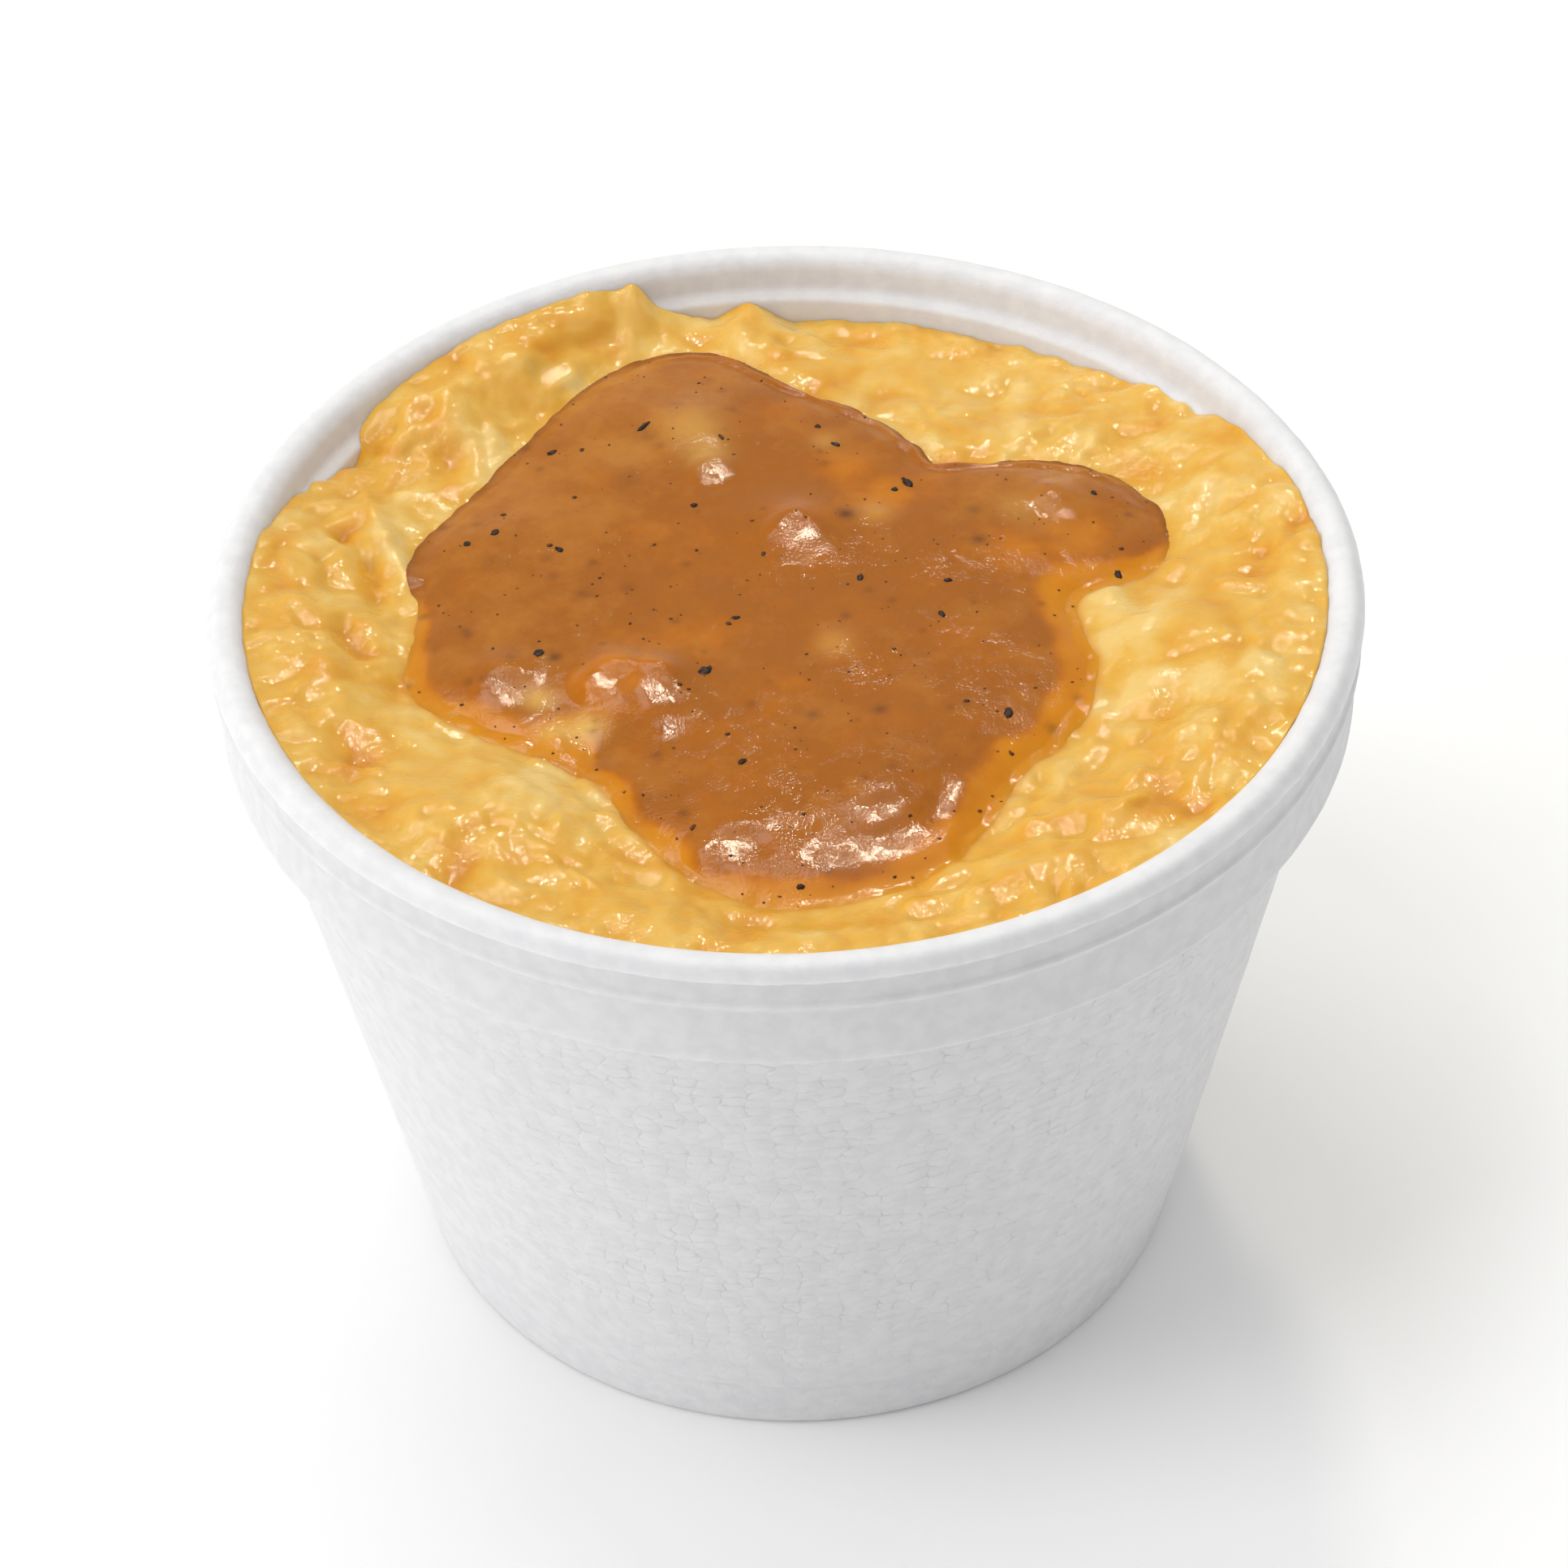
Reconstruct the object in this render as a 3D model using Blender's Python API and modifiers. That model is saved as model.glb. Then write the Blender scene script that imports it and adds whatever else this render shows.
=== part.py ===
"""Mashed potato side: a small foam cup filled with mashed potato under a pool of gravy.

The cup is a turned shell. The potato fills it nearly to the lip, in swells and
hollows, and the gravy lies in a shallow basin that is cut into the potato.
The origin is on the ground at the cup's axis, with +Z up and -Y at the front.
"""

import math

import bmesh
import bpy
from mathutils import Vector, noise

MM = 0.001
STEPS = 72  # facets round everything that is turned
GAP = 0.3 * MM  # between solids that touch

# Foam cup: radii and heights of its outer side, from the lip down
RIM_RADIUS = 46.0 * MM
LIP_CREST = 64.8 * MM
LIP_INNER_RADIUS = 42.9 * MM
PARTING_LINE = 63.6 * MM
COLLAR_LEDGE = 61.1 * MM
COLLAR_BOTTOM = 55.1 * MM
COLLAR_RADIUS = 45.6 * MM
WALL_TOP_RADIUS = 43.4 * MM
FOOT_LINE = 5.9 * MM
FOOT_RADIUS = 34.2 * MM
BASE_RADIUS = 33.0 * MM
# Foam cup: its inside and its underside
STACK_LEDGE = 61.5 * MM
STACK_LEDGE_RADIUS = 41.45 * MM
INNER_FLOOR = 4.4 * MM
INNER_FLOOR_RADIUS = 29.2 * MM
INNER_FILLET = 3.0 * MM
BASE_RECESS = 1.8 * MM
BASE_RECESS_RADIUS = 27.6 * MM

# Mashed potato: its level round the wall, as (degrees from +X towards +Y, height in mm)
WALL_LEVELS = (
    (0, 63.9), (14, 63.8), (26, 62.8), (37, 61.6), (49, 60.5), (62, 59.6), (76, 59.6), (87, 59.5),
    (94, 61.0), (100, 60.6), (105, 61.8), (110, 63.7), (125, 63.6), (140, 62.9), (148, 61.8),
    (153, 60.8), (160, 62.2), (170, 63.6), (190, 63.8), (225, 63.4), (255, 63.1), (285, 63.1),
    (315, 63.4), (345, 63.8),
)
RING_RADII = (0.0, 4.0, 8.0, 12.0, 16.0, 20.0, 24.0, 27.5, 30.5, 33.5, 36.0, 38.3, 40.0)
# Swells (+) and hollows (-): centre x, y, radius and rise in mm
POTATO_SWELLS = (
    (-30, 26, 6, 1.0), (-21, 33, 5, 1.2), (-16, 36, 2.6, -1.5), (-18.5, 30, 3.5, 0.8),
    (-24.5, 21, 3.5, 0.7), (-32.5, 12, 3.4, 1.2), (-30.5, 5, 3.2, 1.1), (-35, 3, 2.8, -1.0),
    (-38, -3, 5, 0.7), (-33, -10, 5, 0.9), (-34, -19, 3, -0.9), (-20, -23, 7, 1.5),
    (-27, -27, 4, 0.4), (-9, -37, 4.5, 0.7), (3, -38, 5, 0.3), (16, -33, 6, 0.8),
    (21, -26, 5, 0.6), (28, -7, 6, 1.2), (36.5, -12, 3, 0.9), (33, -20, 5, 0.6),
    (38.5, 3, 3, -0.9), (33, 11, 5, 0.6), (23, 21, 5, 0.7), (35, 20, 4, 0.5),
    (13, 21, 3, 0.7), (5.5, 31, 4, -0.5), (-1.5, 36.5, 4, 0.9),
)
POTATO_RIPPLE = 0.5 * MM
POTATO_RIPPLE_LENGTH = 6.0 * MM

# Gravy: its outline in mm, clockwise from the back, and the pool's levels
GRAVY_CENTRE = Vector((0.0, 7.0 * MM))
GRAVY_OUTLINE = (
    (-8.7, 35.6), (-3.5, 34.4), (0.2, 30.8), (6.5, 26.6), (10.6, 22.4), (13.4, 18.2), (19.5, 18.6),
    (26.5, 17.0), (30.4, 12.6), (31.4, 7.2), (29.8, 2.4), (25.2, 1.8), (23.2, -2.4), (24.4, -8.5),
    (22.8, -15.5), (17.6, -21.4), (14.6, -28.0), (9.5, -33.0), (1.0, -35.4), (-6.5, -33.2),
    (-11.6, -27.2), (-14.2, -22.0), (-19.5, -17.8), (-25.2, -14.4), (-29.8, -9.2), (-29.4, -1.0),
    (-30.2, 8.6), (-25.0, 16.4), (-20.6, 24.4), (-15.2, 32.2),
)
POOL_BACK = 60.5 * MM  # level of the pool's edge at y = +36 mm
POOL_FRONT = 61.9 * MM  # and at y = -36 mm
POOL_HALF_LENGTH = 36.0 * MM
POOL_CROWN = 1.1 * MM
POOL_DEPTH = 2.6 * MM
POOL_EDGE = 0.5 * MM
GRAVY_SWELLS = (
    (-7, 24, 4, 0.8), (1, 9, 4, 0.7), (4, -6, 3, 0.5), (-21, 9, 5, 0.4), (-12, -9, 3.5, 0.7),
    (7, -21, 7, 0.8), (21, 13, 4, 0.5), (26, 7, 3, -0.5), (9, 15, 4, -0.4), (20, -12, 4, -0.4),
)
GRAVY_RINGS = (0.12, 0.25, 0.38, 0.51, 0.64, 0.76, 0.87, 0.95)


def arc(centre, radius, start, end, points):
    """Points of an arc in the profile plane, at angles in degrees from +X."""
    angles = [start + (end - start) * i / (points - 1) for i in range(points)]
    return [(centre[0] + radius * math.cos(math.radians(a)),
             centre[1] + radius * math.sin(math.radians(a))) for a in angles]


def smoothstep(value, low, high):
    """0 below low, 1 above high, and a smooth rise between them."""
    t = min(max((value - low) / (high - low), 0.0), 1.0)
    return t * t * (3.0 - 2.0 * t)


def cup_inner_radius(z):
    """Radius of the cup's inside at height z, above the floor's fillet."""
    if z >= STACK_LEDGE + 0.6 * MM:
        return STACK_LEDGE_RADIUS + 1.0 * MM + 0.25 * (z - STACK_LEDGE - 0.6 * MM)
    if z >= STACK_LEDGE:
        return STACK_LEDGE_RADIUS + (z - STACK_LEDGE) / 0.6
    slope = (STACK_LEDGE_RADIUS - INNER_FLOOR_RADIUS - INNER_FILLET * 0.8) / (
        STACK_LEDGE - INNER_FLOOR - INNER_FILLET)
    return STACK_LEDGE_RADIUS - slope * (STACK_LEDGE - z)


def cup_profile():
    """The cup's section, from the middle of the inside over the lip to the middle of the base."""
    fillet_top = INNER_FLOOR + INNER_FILLET
    fillet_radius = cup_inner_radius(fillet_top)
    points = [(0.0, INNER_FLOOR), (fillet_radius - INNER_FILLET - 2.0 * MM, INNER_FLOOR)]
    points += arc((fillet_radius - INNER_FILLET, fillet_top), INNER_FILLET, -90, 0, 4)
    points.append((STACK_LEDGE_RADIUS, STACK_LEDGE))
    points.append((STACK_LEDGE_RADIUS + 1.0 * MM, STACK_LEDGE + 0.6 * MM))
    lip_half = (RIM_RADIUS - 0.1 * MM - LIP_INNER_RADIUS) / 2.0
    lip_height = LIP_CREST - PARTING_LINE - 0.1 * MM
    for x, z in arc((0.0, 0.0), 1.0, 180, 0, 7):
        points.append((LIP_INNER_RADIUS + lip_half * (1.0 + x), PARTING_LINE + 0.1 * MM + lip_height * z))
    points.append((RIM_RADIUS, PARTING_LINE))
    points.append((RIM_RADIUS - 0.3 * MM, PARTING_LINE - 0.4 * MM))
    points.append((RIM_RADIUS - 0.4 * MM, COLLAR_LEDGE + 0.3 * MM))
    points.append((RIM_RADIUS - 0.1 * MM, COLLAR_LEDGE))
    points.append((COLLAR_RADIUS, COLLAR_LEDGE - 0.6 * MM))
    points.append((COLLAR_RADIUS - 0.1 * MM, COLLAR_BOTTOM + 0.6 * MM))
    points.append((COLLAR_RADIUS, COLLAR_BOTTOM + 0.2 * MM))
    points.append((COLLAR_RADIUS - 0.5 * MM, COLLAR_BOTTOM - 0.2 * MM))
    points.append((WALL_TOP_RADIUS, COLLAR_BOTTOM - 0.9 * MM))
    points.append((FOOT_RADIUS, FOOT_LINE + 0.1 * MM))
    points.append((FOOT_RADIUS - 0.25 * MM, FOOT_LINE - 0.2 * MM))
    points += arc((BASE_RADIUS - 0.8 * MM, 0.8 * MM), 0.8 * MM, 0, -90, 4)
    points.append((BASE_RECESS_RADIUS + 0.9 * MM, 0.0))
    points.append((BASE_RECESS_RADIUS, BASE_RECESS))
    points.append((0.0, BASE_RECESS))
    return points


def wall_level(angle):
    """Height of the potato at the wall, in metres, at an angle in degrees."""
    angle %= 360.0
    levels = WALL_LEVELS + ((WALL_LEVELS[0][0] + 360, WALL_LEVELS[0][1]),)
    for (a0, h0), (a1, h1) in zip(levels, levels[1:]):
        if a0 <= angle <= a1:
            return (h0 + (h1 - h0) * smoothstep(angle, a0, a1)) * MM
    return levels[0][1] * MM


def swell(x, y, swells):
    """Sum of the rises and hollows of a list at one place."""
    total = 0.0
    for cx, cy, radius, rise in swells:
        distance = math.hypot(x / MM - cx, y / MM - cy) / radius
        if distance < 1.6:
            total += rise * MM * (1.0 - smoothstep(distance, 0.0, 1.6))
    return total


def pool_level(y):
    """Level of the gravy's edge, a little higher at the front than at the back."""
    t = (y + POOL_HALF_LENGTH) / (2.0 * POOL_HALF_LENGTH)
    return POOL_FRONT + (POOL_BACK - POOL_FRONT) * min(max(t, 0.0), 1.0)


def shares_outside_pool(x, y, radii):
    """How far a place lies out from the gravy's centre, and how far the wall does, with the outline at 1."""
    offset = Vector((x, y)) - GRAVY_CENTRE
    distance = max(offset.length, 1e-6)
    place = math.atan2(offset.y, offset.x) % math.tau / math.tau * len(radii)
    step = int(place) % len(radii)
    outline = radii[step] + (radii[(step + 1) % len(radii)] - radii[step]) * (place - int(place))
    along = offset.dot(GRAVY_CENTRE) / distance
    wall = math.sqrt(along ** 2 + STACK_LEDGE_RADIUS ** 2 - GRAVY_CENTRE.length_squared) - along
    return distance / outline, wall / outline


def potato_height(x, y, radii):
    """Top of the potato: at the pool's level by the gravy, and at the wall's level by the wall."""
    share, wall_share = shares_outside_pool(x, y, radii)
    level = pool_level(y)
    blend = smoothstep(share, 1.0, wall_share)
    level += (wall_level(math.degrees(math.atan2(y, x))) - level) * blend
    by_gravy = smoothstep(share, 0.98, 1.2)
    by_wall = 1.0 - smoothstep(math.hypot(x, y), 38.0 * MM, 41.0 * MM)
    ripple = noise.noise(Vector((x, y, 0.0)) / POTATO_RIPPLE_LENGTH) * POTATO_RIPPLE
    return level + (swell(x, y, POTATO_SWELLS) + ripple) * by_gravy * by_wall


def gravy_outline_radii(count):
    """Distances from the gravy's centre to its outline, at even angles, from a closed spline."""
    points = [Vector(p) * MM - GRAVY_CENTRE for p in GRAVY_OUTLINE]
    curve = []
    for i in range(len(points)):
        p0, p1, p2, p3 = (points[(i + k - 1) % len(points)] for k in range(4))
        for k in range(12):
            t = k / 12
            curve.append(0.5 * (2 * p1 + (p2 - p0) * t + (2 * p0 - 5 * p1 + 4 * p2 - p3) * t * t
                                + (3 * p1 - p0 - 3 * p2 + p3) * t ** 3))
    polar = sorted((math.atan2(p.y, p.x) % math.tau, p.length) for p in curve)
    polar = [(polar[-1][0] - math.tau, polar[-1][1])] + polar + [(polar[0][0] + math.tau, polar[0][1])]
    radii = []
    for i in range(count):
        angle = math.tau * i / count
        for (a0, r0), (a1, r1) in zip(polar, polar[1:]):
            if a0 <= angle <= a1:
                radii.append(r0 + (r1 - r0) * (angle - a0) / max(a1 - a0, 1e-9))
                break
    return radii


def gravy_top(x, y, share):
    """Top of the gravy at a share of the way out to its edge."""
    crown = POOL_CROWN * (1.0 - share ** 6) - 0.1 * MM
    return pool_level(y) + crown + swell(x, y, GRAVY_SWELLS) * (1.0 - share ** 3)


def gravy_bottom(y, share):
    """Floor of the basin that the gravy lies in."""
    return pool_level(y) - POOL_EDGE - POOL_DEPTH * (1.0 - share ** 2)


def make_material(name, colour, roughness):
    """Principled material in one colour, with no metal in it."""
    material = bpy.data.materials.new(name)
    material.use_nodes = True
    shader = material.node_tree.nodes["Principled BSDF"]
    shader.inputs["Base Color"].default_value = (*colour, 1.0)
    shader.inputs["Roughness"].default_value = roughness
    shader.inputs["Metallic"].default_value = 0.0
    return material


def turned(name, profile, collection, material=None):
    """Profile in the XZ plane turned about Z; it runs down its outer side, top to bottom."""
    shape = bmesh.new()
    verts = [shape.verts.new((r, 0.0, z)) for r, z in profile]
    for a, b in zip(verts, verts[1:]):
        shape.edges.new((a, b))
    mesh = bpy.data.meshes.new(name)
    shape.to_mesh(mesh)
    shape.free()
    turned_object = bpy.data.objects.new(name, mesh)
    collection.objects.link(turned_object)
    screw = turned_object.modifiers.new("Turn", "SCREW")
    screw.steps = STEPS
    screw.render_steps = STEPS
    screw.use_merge_vertices = True
    screw.merge_threshold = 0.00001
    if material:
        mesh.materials.append(material)
    return turned_object


def apply_modifiers(target):
    """Replace an object's mesh by its evaluated one, so its vertices can be moved."""
    evaluated = target.evaluated_get(bpy.context.evaluated_depsgraph_get())
    mesh = bpy.data.meshes.new_from_object(evaluated)
    mesh.name = target.name
    target.modifiers.clear()
    target.data = mesh
    return mesh


def make_cup(collection):
    """White foam cup with a collar under its lip and a step for stacking inside it."""
    foam = make_material("white_foam", (0.88, 0.88, 0.87), 0.75)
    cup = turned("foam_cup", cup_profile(), collection, foam)
    finish_shading(apply_modifiers(cup))


def finish_shading(mesh):
    """Smooth shading that keeps the sharp corners."""
    mesh.shade_smooth()
    mesh.set_sharp_from_angle(angle=math.radians(35))


def potato_template():
    """Plain section that the potato is turned from, and the heights of its rows at the wall."""
    rows = {"edge": 61.0 * MM, "upper": 60.0 * MM, "lower": 59.0 * MM}
    floor = INNER_FLOOR + GAP
    fillet_top = INNER_FLOOR + INNER_FILLET
    fillet_centre = cup_inner_radius(fillet_top) - INNER_FILLET
    points = [(r * MM, rows["edge"]) for r in RING_RADII]
    points.append((cup_inner_radius(rows["edge"]) - GAP, rows["edge"]))
    for z in (rows["upper"], rows["lower"], 57.0 * MM, 40.0 * MM, 22.0 * MM):
        points.append((cup_inner_radius(z) - GAP, z))
    points += arc((fillet_centre, fillet_top), INNER_FILLET - GAP, 0, -90, 4)
    points.append((0.0, floor))
    return points, rows


def potato_edge_radius(z):
    """Radius of the potato at the wall, clear of the wall and of the step in it."""
    if z <= STACK_LEDGE + GAP:
        return cup_inner_radius(min(z, STACK_LEDGE)) - GAP
    return min(cup_inner_radius(z - GAP), LIP_INNER_RADIUS) - GAP * 1.3


def make_potato(collection, outline):
    """Mashed potato that fills the cup, with its top raised into swells and folds."""
    profile, rows = potato_template()
    potato = turned("mashed_potato", profile, collection,
                    make_material("mashed_potato", (0.78, 0.47, 0.10), 0.45))
    mesh = apply_modifiers(potato)
    rim = cup_inner_radius(rows["edge"]) - GAP
    for vertex in mesh.vertices:
        x, y, z = vertex.co
        radius = math.hypot(x, y)
        if z > rows["edge"] - 0.01 * MM and radius < rim - 0.01 * MM:
            vertex.co.z = potato_height(x, y, outline)
        elif z > rows["lower"] - 0.01 * MM:
            level = wall_level(math.degrees(math.atan2(y, x)))
            if z < rows["lower"] + 0.01 * MM:
                level = min(level - 0.9 * MM, STACK_LEDGE + 0.1 * MM)
            elif z < rows["upper"] + 0.01 * MM:
                level = min(level - 0.4 * MM, STACK_LEDGE + 0.95 * MM)
            scale = potato_edge_radius(level) / radius
            vertex.co = (x * scale, y * scale, level)
    finish_shading(mesh)
    return potato


def warp_to_outline(mesh, radii, grow, heights):
    """Spread a unit disc's rings out to the gravy's outline and set each one's height."""
    for vertex in mesh.vertices:
        x, y, side = vertex.co
        share = math.hypot(x, y)
        step = round(math.atan2(y, x) % math.tau / math.tau * STEPS) % STEPS
        angle = math.tau * step / STEPS
        reach = share * (radii[step] + grow)
        px = GRAVY_CENTRE.x + reach * math.cos(angle)
        py = GRAVY_CENTRE.y + reach * math.sin(angle)
        vertex.co = (px, py, heights(px, py, share, side))


def make_gravy(collection, outline):
    """Pool of gravy: a low lens with a rounded edge and an uneven outline."""
    profile = [(0.0, 1.0)]
    profile += [(share, 1.0) for share in GRAVY_RINGS]
    profile.append((1.0, 0.0))
    profile += [(share, -1.0) for share in reversed(GRAVY_RINGS[1::2])]
    profile.append((0.0, -1.0))
    gravy = turned("gravy", profile, collection, make_material("gravy", (0.42, 0.17, 0.04), 0.25))

    def heights(x, y, share, side):
        if side > 0.5:
            return gravy_top(x, y, share)
        if side < -0.5:
            return gravy_bottom(y, share)
        return pool_level(y) - 0.3 * MM

    mesh = apply_modifiers(gravy)
    warp_to_outline(mesh, outline, 0.0, heights)
    finish_shading(mesh)


def cut_basin(potato, cutters, outline):
    """Cut the gravy's basin, larger than the gravy by the gap, out of the potato."""
    profile = [(0.0, 1.0), (1.0, 1.0), (1.0, 0.0)]
    profile += [(share, -1.0) for share in reversed(GRAVY_RINGS[1::2])]
    profile.append((0.0, -1.0))
    cutter = turned("gravy_basin", profile, cutters)

    def heights(x, y, share, side):
        if side > 0.5:
            return LIP_CREST + 5.0 * MM
        if side < -0.5:
            return gravy_bottom(y, share) - GAP
        return pool_level(y) - 0.3 * MM - GAP

    warp_to_outline(apply_modifiers(cutter), outline, GAP, heights)
    cutter.hide_render = True
    cutter.display_type = "WIRE"
    cut = potato.modifiers.new("Gravy basin", "BOOLEAN")
    cut.operation = "DIFFERENCE"
    cut.solver = "EXACT"
    cut.object = cutter


def main():
    for old in list(bpy.data.objects):
        bpy.data.objects.remove(old, do_unlink=True)
    parts = bpy.data.collections.new("mashed_potato_side")
    cutters = bpy.data.collections.new("cutters")
    bpy.context.scene.collection.children.link(parts)
    bpy.context.scene.collection.children.link(cutters)
    outline = gravy_outline_radii(STEPS)
    make_cup(parts)
    potato = make_potato(parts, outline)
    make_gravy(parts, outline)
    cut_basin(potato, cutters, outline)


main()
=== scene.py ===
import math
import random

import bmesh
import bpy
import numpy as np
from mathutils import Matrix, Vector, noise
from mathutils.bvhtree import BVHTree
from mathutils.kdtree import KDTree


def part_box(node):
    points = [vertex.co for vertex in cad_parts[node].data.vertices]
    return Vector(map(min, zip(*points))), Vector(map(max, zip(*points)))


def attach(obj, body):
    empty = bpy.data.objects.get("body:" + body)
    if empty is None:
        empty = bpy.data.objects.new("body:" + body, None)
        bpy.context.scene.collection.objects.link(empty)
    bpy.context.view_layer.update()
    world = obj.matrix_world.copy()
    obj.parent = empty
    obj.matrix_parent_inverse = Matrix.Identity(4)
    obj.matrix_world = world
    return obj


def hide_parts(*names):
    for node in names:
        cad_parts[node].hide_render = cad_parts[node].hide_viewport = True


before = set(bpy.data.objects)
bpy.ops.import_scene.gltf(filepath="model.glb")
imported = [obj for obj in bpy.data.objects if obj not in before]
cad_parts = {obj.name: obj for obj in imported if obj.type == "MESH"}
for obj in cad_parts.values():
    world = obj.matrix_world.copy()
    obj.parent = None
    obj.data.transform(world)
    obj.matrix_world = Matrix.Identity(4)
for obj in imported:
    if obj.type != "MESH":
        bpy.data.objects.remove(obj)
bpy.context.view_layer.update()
mm = 0.001
random.seed(7)


# ---- small helpers ----

def smoothStep(value, low, high):  # works on numbers and on whole arrays
    t = np.clip((value - low) / (high - low), 0.0, 1.0)
    return t * t * (3.0 - 2.0 * t)


def lattice(u, v, seed):  # a fixed random number from 0 to 1 for each grid point
    value = np.sin(u * 12.9898 + v * 78.233 + seed * 37.719) * 43758.5453
    return value - np.floor(value)


def noiseField(x, y, size, seed=0.0, octaves=1):  # smooth noise from about -1 to 1, size in mm
    total, strength = np.zeros(len(x)), 1.0
    for octave in range(octaves):
        u, v = x / (size * mm), y / (size * mm)
        u0, v0 = np.floor(u), np.floor(v)
        fu, fv = u - u0, v - v0
        corners = []
        for du in (0, 1):
            for dv in (0, 1):
                angle = math.tau * lattice(u0 + du, v0 + dv, seed + octave)
                corners.append(np.cos(angle) * (fu - du) + np.sin(angle) * (fv - dv))
        su, sv = fu * fu * (3.0 - 2.0 * fu), fv * fv * (3.0 - 2.0 * fv)
        low = corners[0] + (corners[1] - corners[0]) * sv
        high = corners[2] + (corners[3] - corners[2]) * sv
        total += strength * 1.6 * (low + (high - low) * su)
        size, strength = size / 2.0, strength / 2.0
    return total


def curdField(x, y, size, seed):  # rounded lumps, 1 in the middle of each
    sharpness = 4.5  # higher gives harder creases between the lumps
    u, v = x / (size * mm), y / (size * mm)
    u0, v0 = np.floor(u), np.floor(v)
    closeness = np.zeros(len(x))
    for du in (-1, 0, 1):
        for dv in (-1, 0, 1):
            a, b = u0 + du, v0 + dv
            gap = (a + lattice(a, b, seed) - u) ** 2 + (b + lattice(a, b, seed + 5.0) - v) ** 2
            closeness += np.exp(-sharpness * gap)
    return 1.1 + 1.5 * np.log(closeness + 1e-9) / sharpness


def spotField(x, y, spots):  # sum of soft round spots (x, y, radius, strength), in mm
    total = np.zeros(len(x))
    for spotX, spotY, radius, strength in spots:
        distance = np.hypot(x / mm - spotX, y / mm - spotY) / radius
        total += strength * np.exp(-distance ** 2)
    return total


def strokeDistance(x, y, x0, y0, x1, y1):  # distance from a straight stroke, in mm
    dx, dy = x1 - x0, y1 - y0
    t = np.clip(((x / mm - x0) * dx + (y / mm - y0) * dy) / (dx * dx + dy * dy), 0.0, 1.0)
    return np.hypot(x / mm - x0 - t * dx, y / mm - y0 - t * dy)


def strokeField(x, y, strokes):  # sum of soft strokes (x0, y0, x1, y1, width, strength), in mm
    total = np.zeros(len(x))
    for x0, y0, x1, y1, width, strength in strokes:
        distance = strokeDistance(x, y, x0, y0, x1, y1) / width
        total += strength * np.exp(-distance ** 2)
    return total


def vertexArray(bm):
    return np.array([v.co[:] for v in bm.verts])


def newPiece(name, bm, material, replaces=None):
    mesh = bpy.data.meshes.new(name)
    bm.to_mesh(mesh)
    bm.free()
    mesh.materials.append(material)
    mesh.shade_smooth()
    piece = bpy.data.objects.new(name, mesh)
    bpy.context.scene.collection.objects.link(piece)
    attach(piece, "root")
    if replaces:
        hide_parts(replaces)
    print("made", name, len(mesh.polygons), "faces")
    return piece


def addAttribute(piece, name, values):  # one number for each vertex, read by the material
    layer = piece.data.attributes.new(name, "FLOAT", "POINT")
    layer.data.foreach_set("value", np.asarray(values, dtype=np.float32))


# ---- shader helpers ----

def newMaterial(name):
    material = bpy.data.materials.new(name)
    material.use_nodes = True
    tree = material.node_tree
    return material, tree, tree.nodes["Principled BSDF"]


def addNode(tree, kind, links=(), **settings):  # links are (input, socket); settings are properties
    node = tree.nodes.new(kind)
    for key, value in settings.items():
        setattr(node, key, value)
    for key, value in links:
        if isinstance(value, bpy.types.NodeSocket):
            tree.links.new(value, node.inputs[key])
        else:
            node.inputs[key].default_value = value
    return node


def rangeNode(tree, value, fromLow, fromHigh, toLow=0.0, toHigh=1.0):
    links = [("Value", value), ("From Min", fromLow), ("From Max", fromHigh),
             ("To Min", toLow), ("To Max", toHigh)]
    return addNode(tree, "ShaderNodeMapRange", links, interpolation_type="SMOOTHSTEP").outputs[0]


def mathNode(tree, operation, a, b=0.0):
    return addNode(tree, "ShaderNodeMath", [(0, a), (1, b)], operation=operation).outputs[0]


def product(tree, first, *others):
    for other in others:
        first = mathNode(tree, "MULTIPLY", first, other)
    return first


def mixColour(tree, factor, a, b):
    node = addNode(tree, "ShaderNodeMix", data_type="RGBA")
    for index, value in ((0, factor), (6, a), (7, b)):
        if isinstance(value, bpy.types.NodeSocket):
            tree.links.new(value, node.inputs[index])
        else:
            node.inputs[index].default_value = value
    return node.outputs[2]


def noiseNode(tree, place, size, detail=2.0, roughness=0.5):  # size in mm
    links = [("Vector", place), ("Scale", 1.0 / (size * mm)), ("Detail", detail), ("Roughness", roughness)]
    return addNode(tree, "ShaderNodeTexNoise", links).outputs["Fac"]


def bumpNode(tree, height, strength, distance, normal=None):  # distance in mm
    links = [("Height", height), ("Strength", strength), ("Distance", distance * mm)]
    if normal:
        links.append(("Normal", normal))
    return addNode(tree, "ShaderNodeBump", links).outputs[0]


def linear(red, green, blue):  # screen colour from 0 to 255, to the shader's linear one
    parts = []
    for value in (red, green, blue):
        value /= 255.0
        parts.append(value / 12.92 if value <= 0.04045 else ((value + 0.055) / 1.055) ** 2.4)
    return (*parts, 1.0)


def rampNode(tree, value, colours):  # colours are (position, screen colour), from the first to the last
    ramp = addNode(tree, "ShaderNodeValToRGB", [(0, value)])
    stops = ramp.color_ramp.elements
    for stop, (position, colour) in zip(stops, (colours[0], colours[-1])):
        stop.position, stop.color = position, linear(*colour)
    for position, colour in colours[1:-1]:
        stops.new(position).color = linear(*colour)
    return ramp.outputs[0]


def attributeNodes(tree, *names):  # values kept in a piece's own attributes
    return [addNode(tree, "ShaderNodeAttribute", attribute_name=name).outputs["Fac"] for name in names]


def setInputs(shader, values):
    for name, value in values.items():
        shader.inputs[name].default_value = value


# ---- camera ----

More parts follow.
